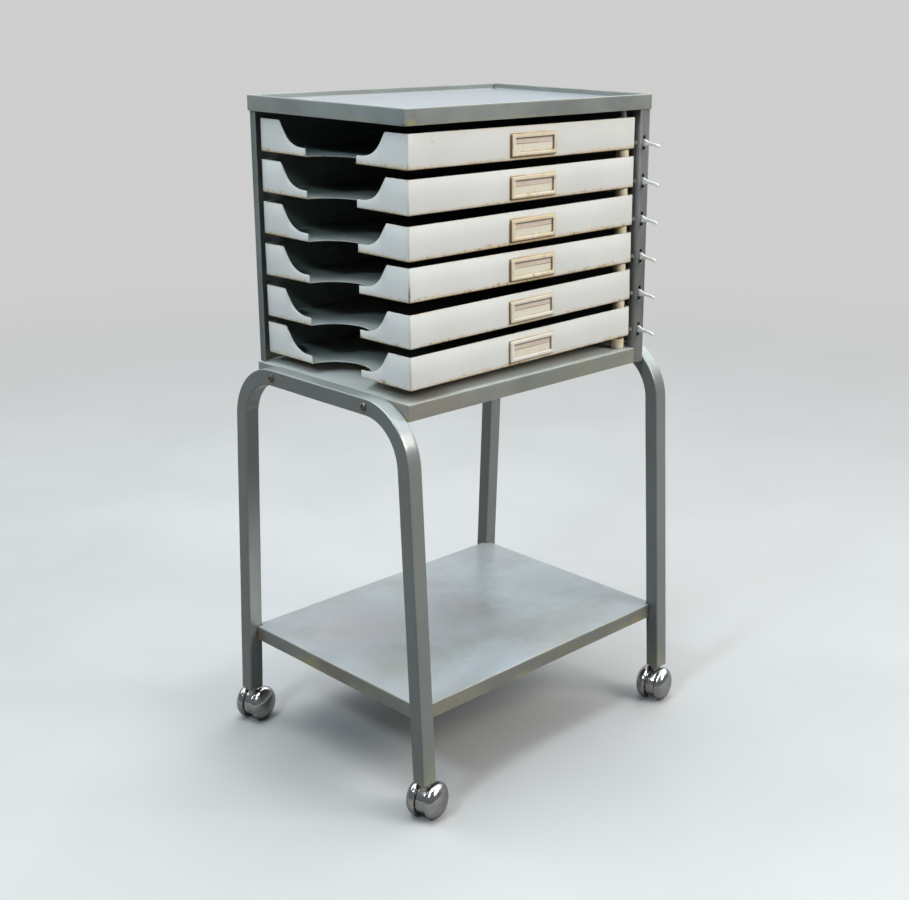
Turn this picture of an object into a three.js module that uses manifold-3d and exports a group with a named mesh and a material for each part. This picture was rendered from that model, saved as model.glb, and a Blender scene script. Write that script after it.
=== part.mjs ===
// Mobile swing-tray cabinet: a sheet-steel cabinet with six shallow trays that
// swing out about one vertical rod, carried on two bent square-tube frames with
// a lower shelf and four twin-wheel ball casters.
//
// Frame: millimetres, +Z up, origin on the floor under the middle of the object.
// +X runs to the right along the long, label-holder front; the front faces -Y.

import * as THREE from "three";
import { mergeVertices } from "three/addons/utils/BufferGeometryUtils.js";
import Module from "manifold-3d";

const wasm = await Module();
wasm.setup();

// ---------------------------------------------------------------- dimensions
const HEIGHT = 787;            // floor to the top pan's rim
const GAP = 0.3;               // clearance between neighbouring pieces
const SHEET = 1.2;             // cabinet sheet thickness
const OVER = 1;                // how far cutters run past the faces they cut

const PAN_HALF_X = 196.3;
const PAN_HALF_Y = 134.2;
const PAN_FLANGE = 17.8;       // height of the pan's outer flange
const PAN_RECESS = 7.2;        // depth of the recessed panel below the rim
const PAN_RIM = 2.6;           // width of the folded rim

const BASE_HALF_X = 197.0;
const BASE_HALF_Y = PAN_HALF_Y;
const BASE_TOP = HEIGHT - 308.4;
const BASE_FLANGE = 19.2;
const BASE_BOTTOM = BASE_TOP - BASE_FLANGE;

const WALL_X = 194.4;          // outer face of the side panel and the two posts
const BACK_Y = 131.4;          // the back panel's outer face lies one gap inside this
const WALL_BOTTOM = BASE_TOP + GAP;
const WALL_TOP = HEIGHT - PAN_RECESS - SHEET - GAP; // walls stop under the pan's panel

const POST_X = 176.6;          // front right post, inner edge of its front face
const POST_Y = -132.9;         // front right post, front face
const POST_RETURN = 11.5;      // depth of its return flange

const TRAYS = 6;
const TRAY_PITCH = 45.8;
const TRAY_DROP = 45.05;       // first tray's mid height below the rim
const TRAY_H = 37.0;
const TRAY_X0 = -189.0;
const TRAY_X1 = 171.2;
const TRAY_Y0 = -129.6;
const TRAY_Y1 = 121.5;
const TRAY_T = 1.0;            // tray sheet

const ROD_X = 160.5;
const ROD_Y = -119.5;
const ROD_R = 4.0;
const SLEEVE_R = 7.8;

const SLOT_X = 184.9;          // centre line of the six lever slots
const SLOT_DROP = 57.0;        // first slot centre below the rim
const LEVER_PIN_Y = -126.4;    // lever pivot, just behind the post's front face
const LEVER_PIN_R = 2.4;

const TUBE = 19.05;            // outer width of the square tube
const TUBE_CORNER = 1.8;
const TUBE_WALL = 1.2;
const FRAME_X = 197.3 + TUBE / 2;   // centre plane of a side frame
const TOP_RUN_Z = HEIGHT - 316.8;   // centre line of the frame's top run
const BEND_R = 62.0;
const LEG_END_Z = 45.4;             // height of the leg's lower end
const LEG_Y_AT_RIM = 128.0;         // leg centre line carried up to the rim height
const LEG_SPLAY = 0.0485;           // outward run per millimetre of drop
const SPLAY_ANGLE = Math.atan(LEG_SPLAY);

const BOLT_Y = { front: -83.5, rear: 81.5 };
const BOLT_Z = HEIGHT - 316.2;
const BOLT_HOLE_R = 2.9;

const SHELF_HALF_X = 204.3;
const SHELF_HALF_Y = 156.0;
const SHELF_TOP = HEIGHT - 654.7;
const SHELF_FLANGE = 18.0;

const WHEEL_R = 21.5;
const WHEEL_SIDES = 18;
const WHEEL_IN = 6.7;          // inner face, from the caster's middle plane
const WHEEL_OUT = 22.6;        // crown of the dome
const CASTER_OFFSET = 5.5;     // axle set off from the swivel axis
const CASTER_YAW = { left: 108, right: -72 }; // degrees

const SIDES = [[-1, "left"], [1, "right"]];
const ENDS = [[-1, "front"], [1, "rear"]];

// mid height of a tray, height of its lever's pivot, and the leg's centre line at a height
const trayMidZ = (k) => HEIGHT - TRAY_DROP - k * TRAY_PITCH;
const trayFloorZ = (k) => trayMidZ(k) - TRAY_H / 2;
const leverZ = (k) => HEIGHT - SLOT_DROP - k * TRAY_PITCH;
const legY = (z) => LEG_Y_AT_RIM + LEG_SPLAY * (HEIGHT - z);

// ----------------------------------------------------------------- materials
const PAINT = { color: 0x8b928f, roughness: 0.5, metalness: 0.1 };
const WHITE = { color: 0xd6d5cf, roughness: 0.55, metalness: 0.05 };
const STEEL = { color: 0xa9aaa8, roughness: 0.35, metalness: 0.9 };
const CHROME = { color: 0xc9cbd0, roughness: 0.12, metalness: 1.0 };
const NYLON = { color: 0xd9d2b4, roughness: 0.5, metalness: 0.0 };

// ------------------------------------------------------------------ helpers
const DEG = Math.PI / 180;
const group = new THREE.Group();

function add(name, body, look, parent = group) {
  const mesh = new THREE.Mesh(toGeometry(body), new THREE.MeshStandardMaterial(look));
  mesh.name = name;
  parent.add(mesh);
  return mesh;
}

function weld(geometry) {
  const bare = geometry.clone();
  bare.deleteAttribute("normal");
  bare.deleteAttribute("uv");
  return mergeVertices(bare, 1e-4);
}

function solid(geometry) {
  const welded = weld(geometry);
  return new wasm.Manifold(new wasm.Mesh({
    numProp: 3,
    vertProperties: Float32Array.from(welded.attributes.position.array),
    triVerts: Uint32Array.from(welded.index.array),
  }));
}

function toGeometry(body) {
  const mesh = body.getMesh();
  const positions = Float32Array.from(mesh.vertProperties);
  const geometry = new THREE.BufferGeometry();
  geometry.setAttribute("position", new THREE.BufferAttribute(positions, 3));
  geometry.setIndex(new THREE.BufferAttribute(Uint32Array.from(mesh.triVerts), 1));
  return geometry;
}

function signedVolume(geometry) {
  const position = geometry.attributes.position;
  const index = geometry.index.array;
  const [p, q, r] = [0, 1, 2].map(() => new THREE.Vector3());
  let sum = 0;
  for (let i = 0; i < index.length; i += 3) {
    p.fromBufferAttribute(position, index[i]);
    q.fromBufferAttribute(position, index[i + 1]);
    r.fromBufferAttribute(position, index[i + 2]);
    sum += p.dot(q.cross(r)) / 6;
  }
  return sum;
}

// turns an inside-out mesh the right way round
function outward(geometry) {
  if (signedVolume(geometry) < 0) {
    const index = geometry.index.array;
    for (let i = 0; i < index.length; i += 3) {
      [index[i + 1], index[i + 2]] = [index[i + 2], index[i + 1]];
    }
  }
  return geometry;
}

const cut = (body, cutters) => cutters.reduce((rest, cutter) => rest.subtract(cutter), body);

const X_AXIS = new THREE.Vector3(1, 0, 0);
const Y_AXIS = new THREE.Vector3(0, 1, 0);
const Z_AXIS = new THREE.Vector3(0, 0, 1);
const YZ_OUTLINE = new THREE.Matrix4().makeBasis(Y_AXIS, Z_AXIS, X_AXIS);
const XZ_OUTLINE = new THREE.Matrix4().makeBasis(X_AXIS, Z_AXIS, Y_AXIS.clone().negate());

function extrude(outline, depth) {
  const shape = new THREE.Shape(outline.map(([x, y]) => new THREE.Vector2(x, y)));
  return new THREE.ExtrudeGeometry(shape, { depth, bevelEnabled: false });
}

// prism standing along Z, its outline given as (x, y)
function prismZ(outline, z0, z1) {
  return solid(extrude(outline, z1 - z0).translate(0, 0, z0));
}

// prism along X, its outline given as (y, z)
function prismX(outline, x0, x1) {
  return solid(extrude(outline, x1 - x0).applyMatrix4(YZ_OUTLINE).translate(x0, 0, 0));
}

// prism along Y, its outline given as (x, z)
function prismY(outline, y0, y1) {
  return solid(extrude(outline, y1 - y0).applyMatrix4(XZ_OUTLINE).translate(0, y1, 0));
}

function rect(x0, x1, y0, y1) {
  return [[x0, y0], [x1, y0], [x1, y1], [x0, y1]];
}

function roundRect(x0, x1, y0, y1, radius, steps = 3) {
  const corners = [
    [x1 - radius, y0 + radius, -90], [x1 - radius, y1 - radius, 0],
    [x0 + radius, y1 - radius, 90], [x0 + radius, y0 + radius, 180],
  ];
  return corners.flatMap(([x, y, start]) => Array.from({ length: steps + 1 }, (_, i) => {
    const angle = start * DEG + (i / steps) * 90 * DEG;
    return [x + radius * Math.cos(angle), y + radius * Math.sin(angle)];
  }));
}

// rounded rectangle about the origin
function centredRect(halfX, halfY, radius, steps) {
  return roundRect(-halfX, halfX, -halfY, halfY, radius, steps);
}

function circle(x, y, radius, sides) {
  return Array.from({ length: sides }, (_, i) => {
    const angle = (i / sides) * 2 * Math.PI;
    return [x + radius * Math.cos(angle), y + radius * Math.sin(angle)];
  });
}

// body of revolution about Z from an axis-to-axis profile of [radius, z]
function lathe(profile, segments) {
  const points = profile.map(([radius, z]) => new THREE.Vector2(radius, z));
  return new THREE.LatheGeometry(points, segments).rotateX(90 * DEG);
}

// cutters for the two frame bolt holes, reaching `reach` to either side of x
function boltHoles(x, reach) {
  return Object.values(BOLT_Y).map((y) =>
    prismX(circle(y, BOLT_Z, BOLT_HOLE_R, 12), x - reach, x + reach));
}

// cutter along X for the pin of lever k
function pinBore(k, x0, x1) {
  return prismX(circle(LEVER_PIN_Y, leverZ(k), LEVER_PIN_R + GAP, 12), x0, x1);
}

// ---------------------------------------------------------------------- pans
function topPan() {
  const bottom = HEIGHT - PAN_FLANGE;
  return cut(prismZ(centredRect(PAN_HALF_X, PAN_HALF_Y, 2.0), bottom, HEIGHT), [
    // hollow below the panel
    prismZ(centredRect(PAN_HALF_X - SHEET, PAN_HALF_Y - SHEET, 0.8),
      bottom - OVER, HEIGHT - PAN_RECESS - SHEET),
    // recess above it
    prismZ(centredRect(PAN_HALF_X - PAN_RIM, PAN_HALF_Y - PAN_RIM, 1.6),
      HEIGHT - PAN_RECESS, HEIGHT + OVER),
  ]);
}
add("top_pan", topPan(), PAINT);

function basePan() {
  const low = BASE_BOTTOM - OVER;
  const high = BASE_TOP + OVER;
  const front = -BASE_HALF_Y - OVER;
  return cut(prismZ(centredRect(BASE_HALF_X, BASE_HALF_Y, 1.8), BASE_BOTTOM, BASE_TOP), [
    prismZ(centredRect(BASE_HALF_X - SHEET, BASE_HALF_Y - SHEET, 0.8), low, BASE_TOP - SHEET),
    // room for the front right post's face and its return flange
    prismZ(rect(POST_X - GAP, BASE_HALF_X + OVER, front, POST_Y + SHEET + GAP), low, high),
    prismZ(rect(POST_X - GAP, POST_X + SHEET + GAP, front, POST_Y + POST_RETURN + GAP),
      low, high),
    // hole for the pivot rod
    prismZ(circle(ROD_X, ROD_Y, ROD_R + GAP, 16), BASE_TOP - 4, high),
    ...SIDES.flatMap(([side]) => boltHoles(side * BASE_HALF_X, 3)),
  ]);
}
add("base_pan", basePan(), PAINT);

// ------------------------------------------------- panels and corner posts
function rightSidePanel() {
  const inner = WALL_X - SHEET;
  const halfY = BACK_Y - 0.2;
  let panel = prismZ(rect(inner, WALL_X, -halfY, halfY), WALL_BOTTOM, WALL_TOP);
  for (let k = 0; k < TRAYS; k++) {
    panel = panel.subtract(pinBore(k, inner - OVER, WALL_X + OVER));
  }
  return panel;
}
add("right_side_panel", rightSidePanel(), PAINT);

function backPanel() {
  const halfX = WALL_X - SHEET - GAP;
  const outer = BACK_Y - GAP;
  return prismZ(rect(-halfX, halfX, outer - SHEET, outer), WALL_BOTTOM, WALL_TOP);
}
add("back_panel", backPanel(), PAINT);

// angle section with a bevelled outer corner
function rearLeftPost() {
  const frontEdge = 122.4;
  const width = 18;
  const bevel = 1.0;
  const outerY = BACK_Y + SHEET;
  const innerY = outerY - SHEET;
  return prismZ([
    [-WALL_X, frontEdge], [-WALL_X + SHEET, frontEdge], [-WALL_X + SHEET, innerY],
    [-WALL_X + width, innerY], [-WALL_X + width, outerY],
    [-WALL_X + bevel, outerY], [-WALL_X, outerY - bevel],
  ], WALL_BOTTOM, WALL_TOP);
}
add("rear_left_post", rearLeftPost(), PAINT);

function frontRightPost() {
  const bevel = 0.9;
  const slotHalfW = 4.4 / 2;
  const slotHalfH = 17.6 / 2;
  const innerY = POST_Y + SHEET;
  const flangeX = POST_X + SHEET;
  let post = prismZ([
    [POST_X, POST_Y], [WALL_X - bevel, POST_Y], [WALL_X, POST_Y + bevel],
    [WALL_X, innerY], [flangeX, innerY],
    [flangeX, POST_Y + POST_RETURN], [POST_X, POST_Y + POST_RETURN],
  ], BASE_BOTTOM - 0.6, WALL_TOP);
  for (let k = 0; k < TRAYS; k++) {
    const z = leverZ(k);
    const slot = roundRect(SLOT_X - slotHalfW, SLOT_X + slotHalfW,
      z - slotHalfH, z + slotHalfH, slotHalfW - 0.05);
    post = cut(post, [
      prismY(slot, POST_Y - OVER, innerY + OVER),
      pinBore(k, POST_X - OVER, flangeX + OVER),
    ]);
  }
  return post;
}
add("front_right_post", frontRightPost(), PAINT);

// ------------------------------------------------------------- pivot parts
// collar turning freely on the rod
function collar(radius, z0, z1) {
  return prismZ(circle(ROD_X, ROD_Y, radius, 16), z0, z1).subtract(
    prismZ(circle(ROD_X, ROD_Y, ROD_R + GAP, 16), z0 - OVER, z1 + OVER));
}

const WASHER_Z = trayFloorZ(TRAYS - 1) - 2.6;   // washer's underside, below the lowest tray
const WASHER_T = 1.9;
const pivotRod = prismZ(circle(ROD_X, ROD_Y, ROD_R, 16), BASE_TOP - 9, WALL_TOP - 0.2);
add("pivot_rod", pivotRod, STEEL);
add("pivot_foot_bush", collar(SLEEVE_R + 0.2, BASE_TOP + GAP, WASHER_Z - GAP), NYLON);
add("pivot_washer", collar(SLEEVE_R + 0.9, WASHER_Z, WASHER_Z + WASHER_T), STEEL);

// ------------------------------------------------------------------- trays
const TRAY_CORNER = 2.6;       // upright corner radius
const SCOOP_Y = -4.6;          // centre of the finger scoop in the tray's free end
const SCOOP_FOOT = 42.5;       // half width of the free-end cut-out at the floor
const NOTCH_HALF = 42.4;       // half width of the notch in the tray floor
const NOTCH_DEEP = 35.0;       // its reach into the floor
const NOTCH_STEPS = 14;
// free-end cut-out, half profile: distance from the scoop centre, depth below the rim
const SCOOP_CURVE = [
  [90.3, 0], [87.6, 3.6], [84.9, 7.6], [80.6, 13.8], [76.0, 18.7],
  [71.2, 22.2], [66.0, 24.7], [60.0, 26.5], [53.4, 27.3], [43.4, 27.6],
];
// how far the free front corner and the free rear corner of each tray hang low
const SAG_FRONT = [-0.5, 0.0, 2.3, 0.0, 4.0, 3.8];
const SAG_REAR = [-1.1, -0.8, 1.0, 3.8, 6.4, 4.3];

// (y, z) outline that leaves ears at the corners, falling in a curve to two low tongues
function scoopOutline(centre) {
  const side = (sign) => SCOOP_CURVE.map(([away, drop]) => [centre + sign * away, TRAY_H - drop]);
  const topHalf = SCOOP_CURVE[0][0];
  return [
    ...side(-1),
    [centre - SCOOP_FOOT, -OVER], [centre + SCOOP_FOOT, -OVER],
    ...side(1).reverse(),
    [centre + topHalf, TRAY_H + OVER], [centre - topHalf, TRAY_H + OVER],
  ];
}

// half-ellipse finger notch in the floor's free end, as (x, y)
function notchOutline(edgeX, centre) {
  const points = [];
  for (let i = 0; i <= NOTCH_STEPS; i++) {
    const angle = -90 * DEG + (i / NOTCH_STEPS) * Math.PI;
    points.push([
      edgeX + NOTCH_DEEP * Math.cos(angle),
      centre + NOTCH_HALF * Math.sin(angle),
    ]);
  }
  points.push([edgeX - OVER, centre + NOTCH_HALF], [edgeX - OVER, centre - NOTCH_HALF]);
  return points;
}

// built about the pivot axis, the floor's underside at z = 0
function trayBody() {
  const x0 = TRAY_X0 - ROD_X;
  const x1 = TRAY_X1 - ROD_X;
  const y0 = TRAY_Y0 - ROD_Y;
  const y1 = TRAY_Y1 - ROD_Y;
  const scoopY = SCOOP_Y - ROD_Y;
  const inside = roundRect(x0 + TRAY_T, x1 - TRAY_T, y0 + TRAY_T, y1 - TRAY_T,
    TRAY_CORNER - TRAY_T);
  return cut(prismZ(roundRect(x0, x1, y0, y1, TRAY_CORNER), 0, TRAY_H), [
    prismZ(inside, TRAY_T, TRAY_H + OVER),
    prismX(scoopOutline(scoopY), x0 - OVER, x0 + TRAY_T + 0.01),
    prismZ(notchOutline(x0, scoopY), -OVER, TRAY_T + OVER),
    // clearance hole for the rod
    prismZ(circle(0, 0, ROD_R + 0.9, 16), -OVER, TRAY_T + OVER),
  ]);
}

const LABEL_X = -4.2;          // middle of the label holders
const LABEL_RAISE = -2.5;      // their centre, from the tray's mid height

// plate with a pocket in its front face, its back at y = 0
function labelHolder() {
  const halfW = 72 / 2;
  const halfH = 25 / 2;
  const thickness = 2.2;
  const backing = 0.7;
  const margin = { left: 6.4, right: 4.6, bottom: 4.8, top: 4.4 };
  const pocket = roundRect(-halfW + margin.left, halfW - margin.right,
    -halfH + margin.bottom, halfH - margin.top, 0.8, 2);
  return prismY(centredRect(halfW, halfH, 2.2), -thickness, 0)
    .subtract(prismY(pocket, -thickness - OVER, -backing));
}

// group at the pivot, tipped so that the tray's free corners hang low
function trayTilt(k) {
  const length = TRAY_X1 - TRAY_X0;
  const depth = TRAY_Y1 - TRAY_Y0;
  const tilt = new THREE.Group();
  tilt.position.set(ROD_X, ROD_Y, trayFloorZ(k));
  tilt.rotation.set(-(SAG_REAR[k] - SAG_FRONT[k]) / depth, -SAG_FRONT[k] / length, 0);
  return tilt;
}

// turning sleeve from a tray's floor to the tray above; the first stops at its tray's rim
function traySleeve(k) {
  const floor = trayFloorZ(k);
  const above = k === 0 ? floor + TRAY_H : trayFloorZ(k - 1);
  return collar(SLEEVE_R, floor + TRAY_T + 0.5, above - 0.6);
}

const tray = trayBody();
const label = labelHolder();
for (let k = 0; k < TRAYS; k++) {
  const tilt = trayTilt(k);
  group.add(tilt);
  add(`tray_${k + 1}`, tray, WHITE, tilt);
  add(`label_holder_${k + 1}`, label, NYLON, tilt)
    .position.set(LABEL_X - ROD_X, TRAY_Y0 - ROD_Y - GAP, TRAY_H / 2 + LABEL_RAISE);
  add(`tray_sleeve_${k + 1}`, traySleeve(k), NYLON);
}

// ------------------------------------------------------------ trip levers
const LEVER_T = 3.2;
// (y, z) about the pivot, the finger end pointing to -Y
const LEVER_OUTLINE = [
  [-2.7, -4.4], [-6.8, -4.5], [-10.7, -3.4], [-16.2, -2.6], [-21.7, -3.0], [-26.2, -4.0],
  [-29.4, -4.5], [-30.6, -3.6], [-30.2, -2.2], [-28.2, -1.0], [-24.2, 0.0], [-18.2, 0.8],
  [-13.2, 1.6], [-10.0, 3.2], [-6.8, 4.4], [3.8, 4.6], [9.3, 4.8], [13.2, 2.6], [14.0, -0.4],
  [12.8, -3.4], [8.8, -4.6],
];

// flat lever with a pin from the post's return flange to the side panel
function leverBody() {
  const pin = circle(0, 0, LEVER_PIN_R, 12);
  return prismX(LEVER_OUTLINE, -LEVER_T / 2, LEVER_T / 2)
    .add(prismX(pin, POST_X - 0.7 - SLOT_X, WALL_X - 0.1 - SLOT_X));
}

const lever = leverBody();
for (let k = 0; k < TRAYS; k++) {
  add(`trip_lever_${k + 1}`, lever, WHITE).position.set(SLOT_X, LEVER_PIN_Y, leverZ(k));
}

// ------------------------------------------------------- side tube frames
const BEND_STEPS = 6;

// stations on the centre line, from the front leg's end over the top run to the rear leg's;
// heading is the angle above +Y
function framePath() {
  const legHeading = 90 * DEG - SPLAY_ANGLE;
  const bendY = -legY(TOP_RUN_Z) + BEND_R * Math.tan(legHeading / 2);
  const bendZ = TOP_RUN_Z - BEND_R;
  const front = [{ y: -legY(LEG_END_Z), z: LEG_END_Z, heading: legHeading }];
  for (let i = 0; i <= BEND_STEPS; i++) {
    const heading = legHeading * (1 - i / BEND_STEPS);
    front.push({
      y: bendY - BEND_R * Math.sin(heading),
      z: bendZ + BEND_R * Math.cos(heading),
      heading,
    });
  }
  const rear = [...front].reverse().map(({ y, z, heading }) => ({ y: -y, z, heading: -heading }));
  return [...front, ...rear];
}

// outer and inner skins swept along the path, joined by a ring at each end
function squareTube(centreX) {
  const path = framePath();
  const half = TUBE / 2;
  const outer = centredRect(half, half, TUBE_CORNER, 2);
  const inner = centredRect(half - TUBE_WALL, half - TUBE_WALL, TUBE_CORNER - TUBE_WALL, 2);
  const positions = [];
  for (const section of [outer, inner]) {
    for (const { y, z, heading } of path) {
      for (const [across, up] of section) {
        positions.push(centreX + across, y - up * Math.sin(heading), z + up * Math.cos(heading));
      }
    }
  }

  const sides = outer.length;
  const skin = path.length * sides;         // index offset of the inner skin
  const last = (path.length - 1) * sides;   // index offset of the last section
  const index = [];
  for (let start = 0; start < last; start += sides) {
    for (let i = 0; i < sides; i++) {
      const here = start + i;
      const next = start + (i + 1) % sides;
      const hereOn = here + sides;
      const nextOn = next + sides;
      index.push(here, hereOn, next, next, hereOn, nextOn);
      index.push(skin + here, skin + next, skin + hereOn);
      index.push(skin + next, skin + nextOn, skin + hereOn);
    }
  }
  for (let i = 0; i < sides; i++) {
    const j = (i + 1) % sides;
    const here = last + i;
    const next = last + j;
    index.push(i, j, skin + i, j, skin + j, skin + i);
    index.push(here, skin + here, next, next, skin + here, skin + next);
  }

  const geometry = new THREE.BufferGeometry();
  const attribute = new THREE.BufferAttribute(Float32Array.from(positions), 3);
  geometry.setAttribute("position", attribute);
  geometry.setIndex(index);
  return solid(outward(geometry));
}

for (const [side, name] of SIDES) {
  const x = side * FRAME_X;
  add(`${name}_frame_tube`, cut(squareTube(x), boltHoles(x, 12)), PAINT);
}

// Bolts through each frame's top run into the base pan's flange.
// [radius, z]: domed head below z = 0, shank along +Z
const BOLT_PROFILE = [
  [0, -2.7], [1.8, -2.5], [3.4, -1.8], [4.4, -0.7], [4.6, 0], [2.5, 0], [2.5, 22.6], [0, 22.6],
];

function boltBody() {
  const headSlot = prismZ(rect(-0.6, 0.6, -6, 6), -4, -1.5);
  return solid(lathe(BOLT_PROFILE, 16)).subtract(headSlot);
}

const bolt = boltBody();
for (const [side, name] of SIDES) {
  for (const [end, y] of Object.entries(BOLT_Y)) {
    const mesh = add(`frame_bolt_${name}_${end}`, bolt, STEEL);
    mesh.position.set(side * (FRAME_X + TUBE / 2 + GAP), y, BOLT_Z);
    mesh.rotation.set(0, -side * 90 * DEG, 0);
  }
}

// ------------------------------------------------------------ lower shelf
// cutter for the corner notch where a leg passes, its inner face leaning with the leg
function legNotch(sideX, sideY) {
  const low = SHELF_TOP - SHELF_FLANGE - OVER;
  const high = SHELF_TOP + OVER;
  const innerX = FRAME_X - TUBE / 2 - GAP;
  const outerX = SHELF_HALF_X + 2;
  const outerY = 190 * sideY;
  const innerY = (z) => (legY(z) - TUBE / 2 - 0.35) * sideY;
  const outline = [[innerY(low), low], [innerY(high), high], [outerY, high], [outerY, low]];
  return sideX > 0 ? prismX(outline, innerX, outerX) : prismX(outline, -outerX, -innerX);
}

function lowerShelf() {
  const bottom = SHELF_TOP - SHELF_FLANGE;
  const insideX = SHELF_HALF_X - SHEET;
  const insideY = SHELF_HALF_Y - SHEET;
  return cut(prismZ(centredRect(SHELF_HALF_X, SHELF_HALF_Y, 2.5), bottom, SHELF_TOP), [
    prismZ(rect(-insideX, insideX, -insideY, insideY), bottom - OVER, SHELF_TOP - SHEET),
    ...SIDES.flatMap(([sideX]) => ENDS.map(([sideY]) => legNotch(sideX, sideY))),
  ]);
}
add("lower_shelf", lowerShelf(), PAINT);

// ---------------------------------------------------------------- casters
// Caster bodies, axles and wheels are built about the swivel axis, the floor at z = 0.

// plug inside the leg's end, bored for the stem
function casterPlug(x, y, sideY) {
  const half = TUBE / 2 - TUBE_WALL - GAP;
  return prismZ(centredRect(half, half, 1.4, 2), 0.6, 22)
    .rotate([(sideY * SPLAY_ANGLE) / DEG, 0, 0])
    .translate([x, y, LEG_END_Z])
    .subtract(prismZ(circle(x, y, 4.3, 14), LEG_END_Z - 5, LEG_END_Z + 30));
}

// [radius, z] of the collar and the stem above it
const STEM_PROFILE = [
  [0, 36], [6.2, 36], [6.2, LEG_END_Z - 2.6], [5.2, LEG_END_Z - 1.0],
  [4.0, LEG_END_Z - 1.0], [4.0, LEG_END_Z + 20], [0, LEG_END_Z + 20],
];
const CHEEK = { radiusY: 18.6, radiusZ: 17.6, upperLift: 0.8, halfWidth: 6.1, steps: 12 };

// (y, z) arc of 300 degrees, closed by a flat below the axle
function cheekOutline() {
  const points = [];
  for (let i = 0; i <= CHEEK.steps; i++) {
    const angle = (-60 + (i / CHEEK.steps) * 300) * DEG;
    const lift = Math.sin(angle) > 0 ? CHEEK.upperLift : 0;
    points.push([
      -CASTER_OFFSET + CHEEK.radiusY * Math.cos(angle),
      WHEEL_R + CHEEK.radiusZ * Math.sin(angle) + lift,
    ]);
  }
  return points;
}

// stem, collar and a flat cheek between the two half balls, bored for the axle
function casterBody() {
  return solid(lathe(STEM_PROFILE, 16))
    .add(prismX(cheekOutline(), -CHEEK.halfWidth, CHEEK.halfWidth))
    .subtract(prismX(circle(-CASTER_OFFSET, WHEEL_R, 2.7, 12), -8, 8));
}

function casterAxle() {
  const half = WHEEL_OUT - 6.0;
  return prismX(circle(-CASTER_OFFSET, WHEEL_R, 2.4, 12), -half, half);
}

// [radius, x] of a half ball: blind bore, flat inner face, short tread, domed outside
function wheelProfile() {
  const radius = WHEEL_R / Math.cos(Math.PI / WHEEL_SIDES);  // flats touch the tread circle
  const domeStart = 10.4;
  const boreR = 3.0;
  const boreEnd = WHEEL_OUT - 5.2;
  const profile = [
    [0, boreEnd], [boreR, boreEnd], [boreR, WHEEL_IN],
    [radius - 1.2, WHEEL_IN], [radius, WHEEL_IN + 1.0], [radius, domeStart],
  ];
  for (let i = 1; i <= 3; i++) {
    const angle = (i / 4) * 90 * DEG;
    profile.push([
      radius * Math.cos(angle),
      domeStart + (WHEEL_OUT - domeStart) * Math.sin(angle),
    ]);
  }
  profile.push([0, WHEEL_OUT]);
  return profile;
}

function casterWheel(side) {
  const geometry = lathe(wheelProfile(), WHEEL_SIDES).rotateY(90 * DEG);
  if (side < 0) geometry.rotateZ(180 * DEG);
  geometry.translate(0, -CASTER_OFFSET, WHEEL_R);
  return solid(outward(weld(geometry)));
}

function addCaster(sideX, sideY, name, yaw) {
  const x = sideX * FRAME_X;
  const y = sideY * legY(LEG_END_Z);
  const addTurned = (part, body, look) => {
    const mesh = add(`caster_${part}_${name}`, body, look);
    mesh.position.set(x, y, 0);
    mesh.rotation.set(0, 0, yaw);
  };
  add(`caster_plug_${name}`, casterPlug(x, y, sideY), STEEL);
  addTurned("body", casterBody(), CHROME);
  addTurned("axle", casterAxle(), STEEL);
  addTurned("wheel_a", casterWheel(-1), CHROME);
  addTurned("wheel_b", casterWheel(1), CHROME);
}

for (const [sideY, end] of ENDS) {
  for (const [sideX, side] of SIDES) {
    addCaster(sideX, sideY, `${end}_${side}`, CASTER_YAW[side] * DEG);
  }
}

export default group;
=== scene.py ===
import math

import bmesh
import bpy
from mathutils import Matrix, Vector, noise


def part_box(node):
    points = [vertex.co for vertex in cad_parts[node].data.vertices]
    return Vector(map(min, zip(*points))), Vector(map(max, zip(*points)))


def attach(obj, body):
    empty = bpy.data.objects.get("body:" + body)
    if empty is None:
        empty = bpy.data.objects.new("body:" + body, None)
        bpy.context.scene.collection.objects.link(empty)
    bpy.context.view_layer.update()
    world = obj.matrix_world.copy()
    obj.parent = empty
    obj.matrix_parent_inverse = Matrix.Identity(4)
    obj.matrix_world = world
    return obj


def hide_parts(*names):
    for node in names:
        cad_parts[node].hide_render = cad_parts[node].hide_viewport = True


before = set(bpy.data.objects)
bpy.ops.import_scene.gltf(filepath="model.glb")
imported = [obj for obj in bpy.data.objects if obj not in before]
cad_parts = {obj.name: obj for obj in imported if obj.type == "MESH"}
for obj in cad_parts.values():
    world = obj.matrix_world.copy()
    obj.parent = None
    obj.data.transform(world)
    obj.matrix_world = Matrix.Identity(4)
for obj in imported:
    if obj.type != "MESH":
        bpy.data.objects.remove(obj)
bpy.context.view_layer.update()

# ------------------------------------------------------------------ measures
# Everything below is written in millimetres, in the CAD frame, and scaled once.
MM = 0.001
DEG = math.pi / 180


def cad_box(node):
    lo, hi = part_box(node)
    return lo * 1000, hi * 1000


TOP_LO, TOP_HI = cad_box("top_pan")
BASE_LO, BASE_HI = cad_box("base_pan")
SIDE_LO, SIDE_HI = cad_box("right_side_panel")
BACK_LO, BACK_HI = cad_box("back_panel")
RPOST_LO, RPOST_HI = cad_box("rear_left_post")
FPOST_LO, FPOST_HI = cad_box("front_right_post")
ROD_LO, ROD_HI = cad_box("pivot_rod")
FBUSH_LO, FBUSH_HI = cad_box("pivot_foot_bush")
WASH_LO, WASH_HI = cad_box("pivot_washer")
SHELF_LO, SHELF_HI = cad_box("lower_shelf")
TUBE_LO, TUBE_HI = cad_box("right_frame_tube")

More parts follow.
